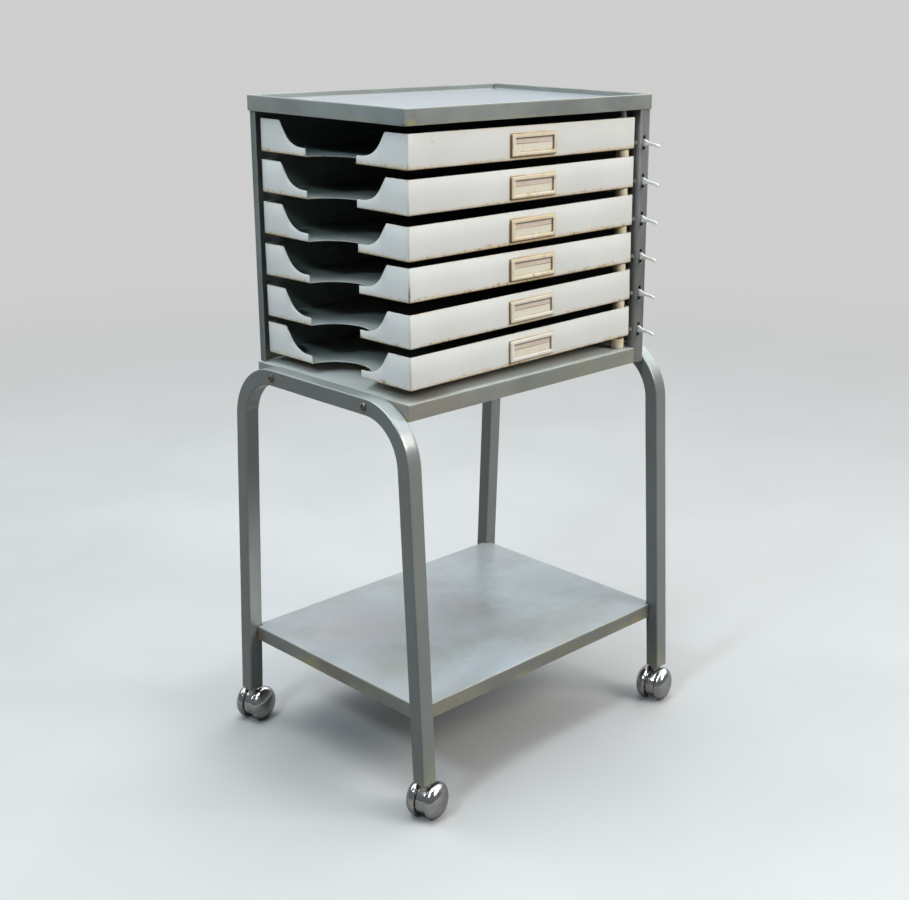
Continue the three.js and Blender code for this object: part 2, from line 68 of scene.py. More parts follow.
H = TOP_HI.z
ROD_X, ROD_Y = (ROD_LO.x + ROD_HI.x) / 2, (ROD_LO.y + ROD_HI.y) / 2
ROD_R = (ROD_HI.x - ROD_LO.x) / 2
SHEET = 1.2
GAP = 0.3

TRAYS = 6
TRAY_PITCH = 45.8
TRAY_DROP = 45.05
TRAY_H = 37.0
TRAY_X0, TRAY_X1 = -189.0, 171.2
TRAY_Y0, TRAY_Y1 = -129.6, 121.5
SCOOP_Y = -4.6
SCOOP_HALF, SCOOP_DEEP = 42.4, 35.0
SCOOP_CURVE = [
    (90.3, 0), (87.6, 3.6), (84.9, 7.6), (80.6, 13.8), (76.0, 18.7),
    (71.2, 22.2), (66.0, 24.7), (60.0, 26.5), (53.4, 27.3), (43.4, 27.6),
]
SAG_FRONT = [-0.5, 0.0, 2.3, 0.0, 4.0, 3.8]
SAG_REAR = [-1.1, -0.8, 1.0, 3.8, 6.4, 4.3]
LABEL_W, LABEL_H, LABEL_X, LABEL_DZ = 72.0, 25.0, -4.2, -2.5

SLOT_X, SLOT_W, SLOT_H, SLOT_DROP = 184.9, 4.4, 17.6, 57.0
LEVER_PIN_Y = -126.4

TUBE, TUBE_R, TUBE_WALL = TUBE_HI.x - TUBE_LO.x, 1.8, 1.2
FRAME_X = (TUBE_LO.x + TUBE_HI.x) / 2
TOP_RUN_Z = TUBE_HI.z - TUBE / 2
LEG_Y_AT_TOP, LEG_SPLAY = 128.0, 0.0485
BEND_R = 62.0
LEG_END = H - 45.4
BOLT_Y = [-83.5, 81.5]
BOLT_Z = H - 316.2

WHEEL_R = 21.5
WHEEL_IN, WHEEL_OUT = 6.7, 22.6
CASTER_OFFSET = 5.5
CASTER_YAW = {"front_left": 108, "front_right": -72, "rear_left": 108, "rear_right": -72}


def leg_y(z):
    return LEG_Y_AT_TOP + LEG_SPLAY * (H - z)


# ------------------------------------------------------------- node-tree kit
class Tree:
    """A small writer for material node trees; every method returns a socket."""

    def __init__(self, name):
        self.mat = bpy.data.materials.new(name)
        self.mat.use_nodes = True
        self.t = self.mat.node_tree
        self.t.nodes.clear()
        tc = self.t.nodes.new("ShaderNodeTexCoord")
        sc = self.t.nodes.new("ShaderNodeVectorMath")
        sc.operation = "SCALE"
        sc.inputs[3].default_value = 1000.0
        self.t.links.new(tc.outputs["Object"], sc.inputs[0])
        self.p = sc.outputs[0]                      # position in mm
        sep = self.t.nodes.new("ShaderNodeSeparateXYZ")
        self.t.links.new(self.p, sep.inputs[0])
        self.x, self.y, self.z = sep.outputs
        oi = self.t.nodes.new("ShaderNodeObjectInfo")
        self.info = oi
        cs = self.t.nodes.new("ShaderNodeSeparateColor")
        self.t.links.new(oi.outputs["Color"], cs.inputs[0])
        self.seed, self.amount, self.third = cs.outputs
        geo = self.t.nodes.new("ShaderNodeNewGeometry")
        ns = self.t.nodes.new("ShaderNodeSeparateXYZ")
        self.t.links.new(geo.outputs["Normal"], ns.inputs[0])
        self.nx, self.ny, self.nz = ns.outputs
        # the same place, shifted by a per-object amount
        sh = self.t.nodes.new("ShaderNodeVectorMath")
        sh.operation = "MULTIPLY_ADD"
        cx = self.t.nodes.new("ShaderNodeCombineXYZ")
        for i in range(3):
            self.t.links.new(self.seed, cx.inputs[i])
        self.t.links.new(cx.outputs[0], sh.inputs[0])
        sh.inputs[1].default_value = (4100.0, -2700.0, 3300.0)
        self.t.links.new(self.p, sh.inputs[2])
        self.ps = sh.outputs[0]

    def _in(self, node, i, v):
        if v is None:
            return
        if isinstance(v, bpy.types.NodeSocket):
            self.t.links.new(v, node.inputs[i])
        else:
            s = node.inputs[i]
            if s.type == "RGBA":
                s.default_value = (v[0], v[1], v[2], 1.0)
            else:
                s.default_value = v

    def m(self, op, a, b=None, c=None, clamp=False):
        n = self.t.nodes.new("ShaderNodeMath")
        n.operation = op
        n.use_clamp = clamp
        self._in(n, 0, a)
        self._in(n, 1, b)
        self._in(n, 2, c)
        return n.outputs[0]

    def add(self, a, b, clamp=False):
        return self.m("ADD", a, b, clamp=clamp)

    def sub(self, a, b, clamp=False):
        return self.m("SUBTRACT", a, b, clamp=clamp)

    def mul(self, a, b, clamp=False):
        return self.m("MULTIPLY", a, b, clamp=clamp)

    def step(self, v, lo, hi, to0=0.0, to1=1.0):
        """smooth step of v from lo to hi (hi may be the smaller one)"""
        n = self.t.nodes.new("ShaderNodeMapRange")
        n.interpolation_type = "SMOOTHSTEP"
        self._in(n, 0, v)
        if not isinstance(lo, bpy.types.NodeSocket) and not isinstance(hi, bpy.types.NodeSocket) and hi < lo:
            lo, hi, to0, to1 = hi, lo, to1, to0
        self._in(n, 1, lo)
        self._in(n, 2, hi)
        self._in(n, 3, to0)
        self._in(n, 4, to1)
        return n.outputs[0]

    def noise(self, scale, detail=3.0, rough=0.5, vec=None, stretch=None, dist=0.0, color=False):
        n = self.t.nodes.new("ShaderNodeTexNoise")
        n.inputs["Scale"].default_value = scale
        n.inputs["Detail"].default_value = detail
        n.inputs["Roughness"].default_value = rough
        n.inputs["Distortion"].default_value = dist
        v = vec or self.ps
        if stretch:
            s = self.t.nodes.new("ShaderNodeVectorMath")
            s.operation = "MULTIPLY"
            self.t.links.new(v, s.inputs[0])
            s.inputs[1].default_value = stretch
            v = s.outputs[0]
        self.t.links.new(v, n.inputs["Vector"])
        return n.outputs["Color" if color else "Fac"]

    def cells(self, scale, vec=None, feature="F1", rand=1.0):
        n = self.t.nodes.new("ShaderNodeTexVoronoi")
        n.feature = feature
        n.inputs["Scale"].default_value = scale
        n.inputs["Randomness"].default_value = rand
        self.t.links.new(vec or self.ps, n.inputs["Vector"])
        return n.outputs["Distance"]

    def mix(self, fac, a, b, mode="MIX"):
        n = self.t.nodes.new("ShaderNodeMix")
        n.data_type = "RGBA"
        n.blend_type = mode
        n.clamp_factor = True
        self._in(n, 0, fac)
        self._in(n, 6, a)
        self._in(n, 7, b)
        return n.outputs[2]

    def near(self, place, radius, ragged=0.5, scale=0.05):
        """1 at a place, fading out raggedly at radius (mm)"""
        n = self.t.nodes.new("ShaderNodeVectorMath")
        n.operation = "DISTANCE"
        self.t.links.new(self.p, n.inputs[0])
        n.inputs[1].default_value = place
        d = self.add(n.outputs["Value"], self.mul(self.sub(self.noise(scale, 4, 0.6), 0.5), radius * ragged * 2))
        return self.step(d, radius, radius * 0.25)

    def attr(self, name):
        n = self.t.nodes.new("ShaderNodeAttribute")
        n.attribute_name = name
        return n.outputs["Fac"]

    def bump(self, height, strength=0.3, distance=1.0, normal=None):
        n = self.t.nodes.new("ShaderNodeBump")
        n.inputs["Strength"].default_value = strength
        n.inputs["Distance"].default_value = distance * MM
        self._in(n, "Height", height)
        if normal is not None:
            self.t.links.new(normal, n.inputs["Normal"])
        return n.outputs[0]

    def surface(self, color, rough, normal=None, metal=0.0, spec=0.5, coat=0.0, coat_rough=0.2, sheen=0.0, sss=0.0):
        b = self.t.nodes.new("ShaderNodeBsdfPrincipled")
        self._in(b, "Base Color", color)
        self._in(b, "Roughness", rough)
        self._in(b, "Metallic", metal)
        self._in(b, "Specular IOR Level", spec)
        self._in(b, "Coat Weight", coat)
        self._in(b, "Coat Roughness", coat_rough)
        self._in(b, "Sheen Weight", sheen)
        if sss:
            self._in(b, "Subsurface Weight", sss)
            b.inputs["Subsurface Radius"].default_value = (0.004, 0.003, 0.002)
        if normal is not None:
            self.t.links.new(normal, b.inputs["Normal"])
        o = self.t.nodes.new("ShaderNodeOutputMaterial")
        self.t.links.new(b.outputs[0], o.inputs[0])
        return self.mat

    def box_edge(self, lo, hi):
        """distance in mm to the nearest edge of an axis box, for a point on its faces"""
        c = [(a + b) / 2 for a, b in zip(lo, hi)]
        h = [(b - a) / 2 for a, b in zip(lo, hi)]
        d = []
        for s, cc, hh in zip((self.x, self.y, self.z), c, h):
            d.append(self.sub(hh, self.m("ABSOLUTE", self.sub(s, cc))))
        a, b, cz = d
        return self.m("MAXIMUM", self.m("MINIMUM", a, b), self.m("MINIMUM", self.m("MAXIMUM", a, b), cz))


# ---------------------------------------------------------------- materials
RUST_DARK = (0.085, 0.030, 0.012)
RUST = (0.24, 0.095, 0.030)
RUST_LIGHT = (0.46, 0.26, 0.10)
STAIN = (0.40, 0.36, 0.17)
PRIMER = (0.40, 0.41, 0.39)


def grey_paint(name, base, box=None, edge_attr=None, low=None, stain=0.5, chips=0.5, rough=0.42,
               warm=0.0, cloudy=0.10, rust=0.25, coat=0.15, smudge=0.0, top_sheen_tint=None, marks=(),
               top_light_shade_and_stains=(), mottled=1.0, scuffs=0.32, uneven=1.0, spec=0.5, painted_left_shade=0.0, sheen_from=0.75):
    """Old semi-gloss cabinet enamel: cloudy colour, fine peel, scuffs, chipped and rusted edges.
    low = (z of the lower edge, height of the stained band)."""
    t = Tree(name)
    cloud = t.noise(0.011, 4, 0.55)
    mottle = t.noise(0.06, 5, 0.6)
    fine = t.noise(0.9, 3, 0.6)
    b2 = tuple(max(0.0, c * (1 - cloudy * 1.6)) for c in base)
    b3 = tuple(c * (1 + cloudy * 1.4) for c in base)
    col = t.mix(t.step(cloud, 0.32, 0.68), b2, b3)
    col = t.mix(t.mul(t.step(mottle, 0.45, 0.75), 0.35 * mottled), col, (base[0] * 1.12, base[1] * 1.10, base[2] * 1.02))
    # long faint scuffs
    sc1 = t.step(t.noise(0.045, 2, 0.5, stretch=(0.12, 1.0, 2.6)), 0.70, 0.76)
    sc2 = t.step(t.noise(0.5, 2, 0.45, stretch=(0.03, 0.06, 1.0), dist=0.3), 0.68, 0.74)
    scuff = t.mul(t.m("MAXIMUM", t.mul(sc1, 0.5), sc2), t.step(t.noise(0.012, 2, 0.5), 0.48, 0.62))
    col = t.mix(t.mul(scuff, scuffs), col, (base[0] * 1.75, base[1] * 1.75, base[2] * 1.75))
    # painted sheen: faces turned upward take a lighter, bluish tint that stands for reflected sky light
    if top_sheen_tint:
        up = t.step(t.nz, sheen_from, 0.95)
        col = t.mix(up, col, t.mix(t.step(mottle, 0.35, 0.7), top_sheen_tint, tuple(c * 0.96 for c in top_sheen_tint)))
    if smudge:
        up = t.step(t.nz, 0.75, 0.95)
        s1 = t.step(t.noise(0.0060, 2, 0.45, dist=0.4), 0.40, 0.68)
        s2 = t.step(t.noise(0.0110, 2, 0.45, stretch=(1.0, 0.45, 1.0)), 0.46, 0.72)
        col = t.mix(t.mul(t.mul(up, s1), smudge), col, (base[0] * 0.62, base[1] * 0.66, base[2] * 0.74))
        col = t.mix(t.mul(t.mul(up, s2), smudge * 0.7), col, (base[0] * 0.95, base[1] * 0.74, base[2] * 0.74))
    grime = t.noise(0.035, 5, 0.65)
    if low:
        z0, band = low
        f = t.step(t.add(t.z, t.mul(t.sub(grime, 0.5), band * 1.6)), z0 + band, z0)
        col = t.mix(t.mul(t.mul(f, t.step(t.noise(0.013, 3, 0.5), 0.40, 0.66)), stain), col, STAIN)
        spots = t.mul(t.step(t.noise(0.14, 5, 0.65), 0.60, 0.68), t.step(t.z, z0 + band * 0.55, z0))
        col = t.mix(t.mul(spots, rust), col, RUST)
    if warm:
        col = t.mix(t.mul(t.step(t.noise(0.018, 3, 0.5), 0.40, 0.7), warm), col, (base[0] * 1.12, base[1] * 1.05, base[2] * 0.70))
    # round patches on the sides and on the top; the top ones also carry painted shadow and painted pools of light
    for places, side in ((marks, t.step(t.nz, 0.75, 0.45)), (top_light_shade_and_stains, t.step(t.nz, 0.75, 0.95))):
        for place_at, radius, tint, strength in places:
            col = t.mix(t.mul(t.mul(t.near(place_at, radius), strength), side), col, tint)
    height = t.mul(fine, 0.10)
    if box:
        e = t.box_edge(*box)
    elif edge_attr:
        e = t.mul(t.sub(1.0, t.attr(edge_attr)), 3.0)
    else:
        e = None
    chip = None
    if e is not None:
        ragged = t.add(e, t.mul(t.sub(t.noise(0.30, 5, 0.7), 0.5), 3.4))
        line = t.step(ragged, 1.3, 0.2)
        where = t.step(t.noise(0.028, 3, 0.55), 0.47, 0.60)
        col = t.mix(t.mul(line, 0.34 * chips + 0.12), col, PRIMER)
        chip = t.mul(t.step(ragged, 0.55, 0.1), where)
        rusty = t.mix(t.step(fine, 0.35, 0.65), RUST_DARK, RUST)
        col = t.mix(t.mul(chip, min(1.0, chips * 1.3)), col, rusty)
        halo = t.mul(t.step(t.add(e, t.mul(t.sub(grime, 0.5), 6.0)), 4.5, 0.6), where)
        col = t.mix(t.mul(halo, 0.30 * chips), col, STAIN)
        height = t.sub(height, t.mul(chip, 0.35))
    # tiny pin-head rust specks
    spk = t.mul(t.step(t.cells(0.11), 0.085, 0.05), t.step(t.noise(0.02, 2, 0.5), 0.52, 0.66))
    col = t.mix(t.mul(spk, 0.55 * rust + 0.1), col, RUST)
    peel = t.noise(0.22, 2, 0.4)
    wave = t.noise(0.012, 2, 0.4)
    # painted shade: faces turned to -X are darkened toward black
    if painted_left_shade:
        col = t.mix(t.mul(t.step(t.nx, -0.55, -0.9), painted_left_shade), col, (0.0, 0.0, 0.0))
    n = t.bump(t.add(t.add(height, t.mul(peel, 0.10)), t.mul(wave, 1.4)), 0.32 * uneven, 1.0)
    r = t.add(rough, t.mul(t.sub(mottle, 0.5), 0.24 * mottled))
    r = t.add(r, t.mul(scuff, 0.4 * scuffs))
    if chip is not None:
        r = t.add(r, t.mul(chip, 0.35))
    return t.surface(col, r, n, spec=spec, coat=coat, coat_rough=0.28)


def panel_enamel(name, lo, hi):
    """The sunk top panel: smooth enamel whose pale bluish colour is partly painted sky reflection; darker along its
    border.
    """
    t = Tree(name)
    cloud = t.noise(0.0055, 2, 0.4)
    smear = t.noise(0.010, 2, 0.4, stretch=(1.0, 0.35, 1.0))
    # pale bluish base colour, partly painted sky reflection
    col = t.mix(t.step(cloud, 0.30, 0.70), (0.272, 0.290, 0.304), (0.300, 0.316, 0.328))
    col = t.mix(t.mul(t.step(smear, 0.42, 0.72), 0.55), col, (0.305, 0.298, 0.310))
    dx = t.sub((hi[0] - lo[0]) / 2 - 4.0, t.m("ABSOLUTE", t.sub(t.x, (lo[0] + hi[0]) / 2)))
    dy = t.sub((hi[1] - lo[1]) / 2 - 4.0, t.m("ABSOLUTE", t.sub(t.y, (lo[1] + hi[1]) / 2)))
    e = t.add(t.m("MINIMUM", dx, dy), t.mul(t.sub(t.noise(0.06, 4, 0.55), 0.5), 9.0))
    col = t.mix(t.mul(t.step(e, 7.0, 0.0), 0.40), col, (0.190, 0.200, 0.188))
    hair = t.step(t.noise(0.5, 2, 0.45, stretch=(0.03, 0.6, 1.0), dist=0.3), 0.70, 0.76)
    col = t.mix(t.mul(t.mul(hair, t.step(cloud, 0.5, 0.65)), 0.12), col, (0.42, 0.43, 0.44))
    speck = t.mul(t.step(t.cells(0.09), 0.07, 0.04), t.step(smear, 0.52, 0.64))
    col = t.mix(t.mul(speck, 0.45), col, (0.20, 0.15, 0.10))
    n = t.bump(t.add(t.mul(t.noise(0.22, 2, 0.4), 0.05), t.mul(t.noise(0.010, 2, 0.4), 1.2)), 0.10, 1.0)
    return t.surface(col, t.add(0.27, t.mul(t.sub(cloud, 0.5), 0.10)), n, spec=0.5, coat=0.4, coat_rough=0.28)


def tray_enamel(name, lo, hi, label):
    """White stove enamel of a tray in the tray's own frame. Object colour: seed, rust, yellowing."""
    t = Tree(name)
    cloud = t.noise(0.010, 4, 0.5)
    mottle = t.noise(0.05, 5, 0.62)
    fine = t.noise(1.1, 3, 0.6)
    col = t.mix(t.step(cloud, 0.3, 0.7), (0.625, 0.622, 0.595), (0.668, 0.666, 0.640))
    col = t.mix(t.mul(t.step(mottle, 0.50, 0.78), 0.30), col, (0.62, 0.60, 0.54))
    # faint vertical wipe marks and scuffs
    wipe = t.step(t.noise(0.10, 3, 0.55, stretch=(1.0, 1.0, 0.10)), 0.58, 0.74)
    col = t.mix(t.mul(wipe, 0.14), col, (0.56, 0.57, 0.55))
    grime = t.noise(0.045, 5, 0.65)
    patch = t.noise(0.016, 3, 0.55)
    # yellowing along the lower edge, stronger in patches
    zz = t.add(t.z, t.mul(t.sub(grime, 0.5), 9.0))
    low = t.step(zz, 7.0, -1.0)
    yel = t.mul(low, t.step(patch, 0.30, 0.60))
    col = t.mix(t.mul(t.mul(yel, t.third), 0.80), col, (0.60, 0.46, 0.23))
    hem = t.mul(t.step(t.add(t.z, t.mul(t.sub(t.noise(0.11, 4, 0.6), 0.5), 3.4)), 3.0, 0.4), t.step(patch, 0.26, 0.46))
    col = t.mix(t.mul(t.mul(hem, t.third), 0.80), col, (0.44, 0.29, 0.11))
    e = t.box_edge(lo, hi)
    # yellow bloom beside corners
    bloom = t.mul(t.step(t.add(e, t.mul(t.sub(grime, 0.5), 4.0)), 3.0, 0.2), t.step(patch, 0.42, 0.6))
    col = t.mix(t.mul(t.mul(bloom, t.third), 0.50), col, (0.60, 0.46, 0.23))
    # halo round the label holder
    lx, lz = label
    dx = t.sub(t.m("ABSOLUTE", t.sub(t.x, lx)), LABEL_W / 2)
    dz = t.sub(t.m("ABSOLUTE", t.sub(t.z, lz)), LABEL_H / 2)
    dx, dz = t.m("MAXIMUM", dx, 0.0), t.m("MAXIMUM", dz, 0.0)
    dl = t.m("SQRT", t.add(t.mul(dx, dx), t.mul(dz, dz)))
    front = t.step(t.y, lo[1] + 2.0, lo[1] + 1.0)
    # painted shadow of the raised label frame on the tray front, strongest at its lower left, partly rust
    label_shadow_and_rust_line = t.mul(t.mul(t.step(t.add(dl, t.mul(t.sub(t.noise(0.3, 3, 0.6), 0.5), 0.9)), 1.0, 0.35), front),
                       t.add(0.35, t.mul(t.step(t.add(t.sub(t.x, lx), t.sub(t.z, lz)), 10.0, -10.0), 0.5)))
    halo = t.mul(t.mul(t.step(t.add(dl, t.mul(t.sub(grime, 0.5), 4.0)), 4.2, 0.0), front), t.step(t.noise(0.03, 3, 0.5), 0.34, 0.60))
    col = t.mix(t.mul(t.mul(halo, t.third), 0.75), col, (0.60, 0.45, 0.21))
    below = t.mul(t.mul(t.step(t.m("ABSOLUTE", t.sub(t.x, lx)), 44.0, 20.0), front), t.step(t.z, lz - 8.0, lz - 16.0))
    col = t.mix(t.mul(t.mul(t.mul(below, t.step(grime, 0.40, 0.62)), t.third), 0.75), col, (0.60, 0.42, 0.17))
    col = t.mix(label_shadow_and_rust_line, col, (0.13, 0.075, 0.03))
    # the yellowed line down the folded front corner
    fold = t.m("SQRT", t.add(t.m("POWER", t.sub(t.x, lo[0]), 2.0), t.m("POWER", t.sub(t.y, lo[1]), 2.0)))
    foldline = t.mul(t.step(t.add(fold, t.mul(t.sub(t.noise(0.3, 4, 0.6), 0.5), 2.0)), 2.1, 0.5), t.step(t.noise(0.05, 3, 0.5), 0.36, 0.56))
    col = t.mix(t.mul(foldline, 0.55), col, (0.42, 0.30, 0.12))
    # rust: a ragged line on the very edges, specks in the lower band, single pits
    ragged = t.add(e, t.mul(t.sub(t.noise(0.34, 5, 0.7), 0.5), 3.2))
    seam = t.mul(t.step(ragged, 0.75, 0.0), t.step(t.noise(0.035, 3, 0.5), 0.42, 0.60))
    rusty = t.mix(t.step(fine, 0.35, 0.65), RUST_DARK, RUST)
    lowrust = t.mul(t.step(t.noise(0.26, 5, 0.68), 0.535, 0.605), t.mul(t.step(zz, 6.5, 0.5), t.step(patch, 0.34, 0.52)))
    pits = t.mul(t.step(t.cells(0.10), 0.075, 0.03), t.step(t.noise(0.03, 2, 0.5), 0.56, 0.70))
    rimwear = t.mul(t.step(ragged, 1.2, 0.3), 0.22)
    col = t.mix(rimwear, col, (0.48, 0.42, 0.31))
    col = t.mix(t.mul(t.mul(lowrust, t.amount), 0.95), col, RUST)
    col = t.mix(t.mul(t.mul(seam, t.amount), 0.95), col, rusty)
    col = t.mix(t.mul(t.mul(pits, t.amount), 0.8), col, RUST)
    # single marks of the photograph: a grey knock on tray 1 and a brown run down the corner of tray 4
    top_z = hi[2]
    knock = t.mul(t.near((lo[0] + 34.0, lo[1], top_z - 9.0), 1.7, 0.3, 0.5), t.step(t.m("ABSOLUTE", t.sub(t.seed, 0.11)), 0.04, 0.02))
    col = t.mix(t.mul(knock, 0.6), col, (0.30, 0.30, 0.29))
    run = t.mul(t.step(t.add(fold, t.mul(t.sub(t.noise(0.4, 4, 0.6), 0.5), 3.0)), 2.6, 0.6),
                t.mul(t.step(t.z, 22.0, 12.0), t.step(t.m("ABSOLUTE", t.sub(t.seed, 0.44)), 0.04, 0.02)))
    col = t.mix(t.mul(run, 0.85), col, RUST_DARK)
    height = t.sub(t.mul(fine, 0.06), t.mul(t.m("MAXIMUM", seam, lowrust), 0.25))
    n = t.bump(t.add(t.add(height, t.mul(t.noise(0.20, 2, 0.4), 0.10)), t.mul(t.noise(0.010, 2, 0.4), 2.2)), 0.30, 1.0)
    r = t.add(0.36, t.mul(t.sub(mottle, 0.5), 0.22))
    r = t.add(r, t.mul(t.m("MAXIMUM", seam, lowrust), 0.3))
    return t.surface(col, r, n, spec=0.5, coat=0.12, coat_rough=0.25)


def tray_inside(name):
    """Grey-green inside of a tray, dulled by dust, kept dark as painted shade, with a painted pool of light on the
    floor toward the notch.
    """
    t = Tree(name)
    cloud = t.noise(0.012, 4, 0.55)
    mottle = t.noise(0.07, 5, 0.62)
    # grey-green paint, set darker than the cabinet paint as painted shade inside the tray
    col = t.mix(t.step(cloud, 0.3, 0.7), (0.105, 0.142, 0.128), (0.140, 0.172, 0.158))
    dust = t.mul(t.step(t.nz, 0.6, 0.95), t.step(mottle, 0.40, 0.75))
    col = t.mix(t.mul(dust, 0.18), col, (0.26, 0.29, 0.27))
    scr = t.step(t.noise(0.35, 2, 0.45, stretch=(0.05, 1.0, 0.3), dist=0.4), 0.67, 0.73)
    col = t.mix(t.mul(scr, 0.25), col, (0.36, 0.38, 0.36))
    # painted pool of light on the floor close to the notch, where light falls in past the tray above
    d = t.m("SQRT", t.add(t.m("POWER", t.m("DIVIDE", t.sub(t.x, TRAY_X0 - ROD_X), 78.0), 2.0),
                          t.m("POWER", t.m("DIVIDE", t.sub(t.y, SCOOP_Y - ROD_Y), 96.0), 2.0)))
    notch_light_pool = t.mul(t.step(t.add(d, t.mul(t.sub(mottle, 0.5), 0.25)), 1.05, 0.55), t.step(t.nz, 0.6, 0.95))
    col = t.mix(t.mul(notch_light_pool, 0.85), col, (0.42, 0.455, 0.445))
    n = t.bump(t.add(t.mul(t.noise(0.9, 3, 0.6), 0.12), t.noise(0.014, 2, 0.4)), 0.3, 1.0)
    return t.surface(col, t.add(0.42, t.mul(t.sub(mottle, 0.5), 0.25)), n, coat=0.1)


def cut_edge(name):
    """Pale sheet edge where the enamel has worn through."""
    t = Tree(name)
    a = t.noise(0.25, 5, 0.65)
    col = t.mix(t.step(a, 0.40, 0.62), (0.60, 0.60, 0.56), (0.50, 0.48, 0.42))
    col = t.mix(t.mul(t.mul(t.step(t.noise(0.12, 4, 0.6), 0.60, 0.70), t.amount), 0.9), col, RUST)
    n = t.bump(t.noise(1.2, 3, 0.6), 0.2, 0.3)
    return t.surface(col, 0.42, n)


def label_metal(name):
    """Cream-lacquered pressed frame, browned by rust at its borders."""
    t = Tree(name)
    w, h = LABEL_W / 2, LABEL_H / 2
    a = t.noise(0.11, 5, 0.65)
    b = t.noise(0.035, 3, 0.5)
    fine = t.noise(0.8, 4, 0.65)
    pale = t.mix(t.step(b, 0.32, 0.68), (0.63, 0.61, 0.55), (0.66, 0.65, 0.60))
    col = t.mix(t.third, pale, t.mix(t.step(b, 0.32, 0.68), (0.61, 0.50, 0.32), (0.66, 0.60, 0.46)))
    # warm browning: stronger at the left, bottom and right outer borders
    el = t.add(t.x, w)
    er = t.sub(w, t.x)
    eb = t.add(t.z, h)
    et = t.sub(h, t.z)
    border = t.m("MINIMUM", t.m("MINIMUM", el, er), t.m("MINIMUM", eb, et))
    brown = t.step(t.add(border, t.mul(t.sub(a, 0.5), 5.0)), 2.6, 0.2)
    col = t.mix(t.mul(t.mul(brown, t.amount), 0.55), col, (0.52, 0.33, 0.14))
    patch = t.mul(t.step(a, 0.52, 0.66), t.step(b, 0.36, 0.6))
    col = t.mix(t.mul(t.mul(patch, t.amount), 0.85), col, (0.42, 0.22, 0.08))
    # dark line on the outer left and bottom walls: painted shade of the raised frame, partly grime, stronger where rust
    # is heavy
    outer_shade_and_grime = t.m("MAXIMUM", t.step(el, 1.2, 0.4), t.step(eb, 2.0, 0.9))
    col = t.mix(t.mul(outer_shade_and_grime, t.add(0.38, t.mul(t.amount, 0.55))), col, (0.14, 0.080, 0.035))
    # painted shade on the lip of the window: top and right, stronger where rust is heavy
    il = t.sub(t.z, h - 4.9)
    ir = t.sub(t.x, w - 5.1)
    inx = t.mul(t.step(t.x, -w + 5.6, -w + 6.6), t.step(t.x, w - 3.8, w - 4.5))
    window_lip_shade = t.m("MAXIMUM", t.mul(t.step(t.m("ABSOLUTE", il), 1.25, 0.5), inx),
              t.mul(t.mul(t.step(t.m("ABSOLUTE", ir), 1.35, 0.5), t.step(t.z, h - 4.0, h - 4.6)), t.step(t.z, -h + 5.4, -h + 6.6)))
    col = t.mix(t.mul(window_lip_shade, t.add(0.42, t.mul(t.amount, 0.5))), col, (0.10, 0.05, 0.03))
    col = t.mix(t.mul(t.mul(t.step(fine, 0.62, 0.72), t.amount), 0.5), col, RUST_DARK)
    n = t.bump(t.add(t.mul(fine, 0.3), t.mul(a, 0.6)), 0.4, 0.6)
    return t.surface(col, t.add(0.45, t.mul(t.sub(a, 0.5), 0.3)), n)


def label_pocket(name):
    """Backing plate seen in the window: pinkish, stained."""
    t = Tree(name)
    a = t.noise(0.10, 5, 0.62)
    b = t.noise(0.5, 4, 0.6)
    col = t.mix(t.step(a, 0.35, 0.65), (0.62, 0.52, 0.45), (0.56, 0.46, 0.38))
    col = t.mix(t.mul(t.mul(t.step(b, 0.58, 0.70), t.amount), 0.6), col, (0.34, 0.19, 0.09))
    # painted shade along the window's top and right walls
    edge = t.m("MAXIMUM", t.step(t.z, LABEL_H / 2 - 6.6, LABEL_H / 2 - 5.2), t.step(t.x, LABEL_W / 2 - 7.6, LABEL_W / 2 - 5.6))
    col = t.mix(t.mul(edge, 0.75), col, (0.10, 0.06, 0.045))
    return t.surface(col, 0.7, t.bump(b, 0.25, 0.4))


def card_paper(name):
    """Old blank card, foxed and rust-stained along its lower edge."""
    t = Tree(name)
    a = t.noise(0.12, 5, 0.62)
    f = t.noise(2.2, 3, 0.6, stretch=(0.5, 1.0, 2.0))
    col = t.mix(t.step(a, 0.3, 0.7), (0.66, 0.59, 0.45), (0.66, 0.64, 0.56))
    col = t.mix(t.mul(t.step(f, 0.5, 0.8), 0.15), col, (0.50, 0.43, 0.30))
    low = t.step(t.add(t.z, t.mul(t.sub(a, 0.5), 6.0)), -5.4, -8.8)
    col = t.mix(t.mul(t.mul(low, t.amount), 0.85), col, (0.50, 0.32, 0.12))
    fox = t.mul(t.step(t.cells(0.28), 0.20, 0.10), t.step(t.noise(0.06, 2, 0.5), 0.48, 0.62))
    col = t.mix(t.mul(t.mul(fox, t.amount), 0.55), col, (0.40, 0.22, 0.09))
    # painted shade: darker under the window's top lip and beside its right wall
    top = t.step(t.z, 1.1, 1.7)
    col = t.mix(t.mul(top, 0.75), col, (0.20, 0.14, 0.09))
    shade = t.step(t.x, LABEL_W / 2 - 7.6, LABEL_W / 2 - 5.6)
    col = t.mix(t.mul(shade, 0.85), col, (0.07, 0.040, 0.025))
    return t.surface(col, 0.82, t.bump(f, 0.15, 0.2), spec=0.2)


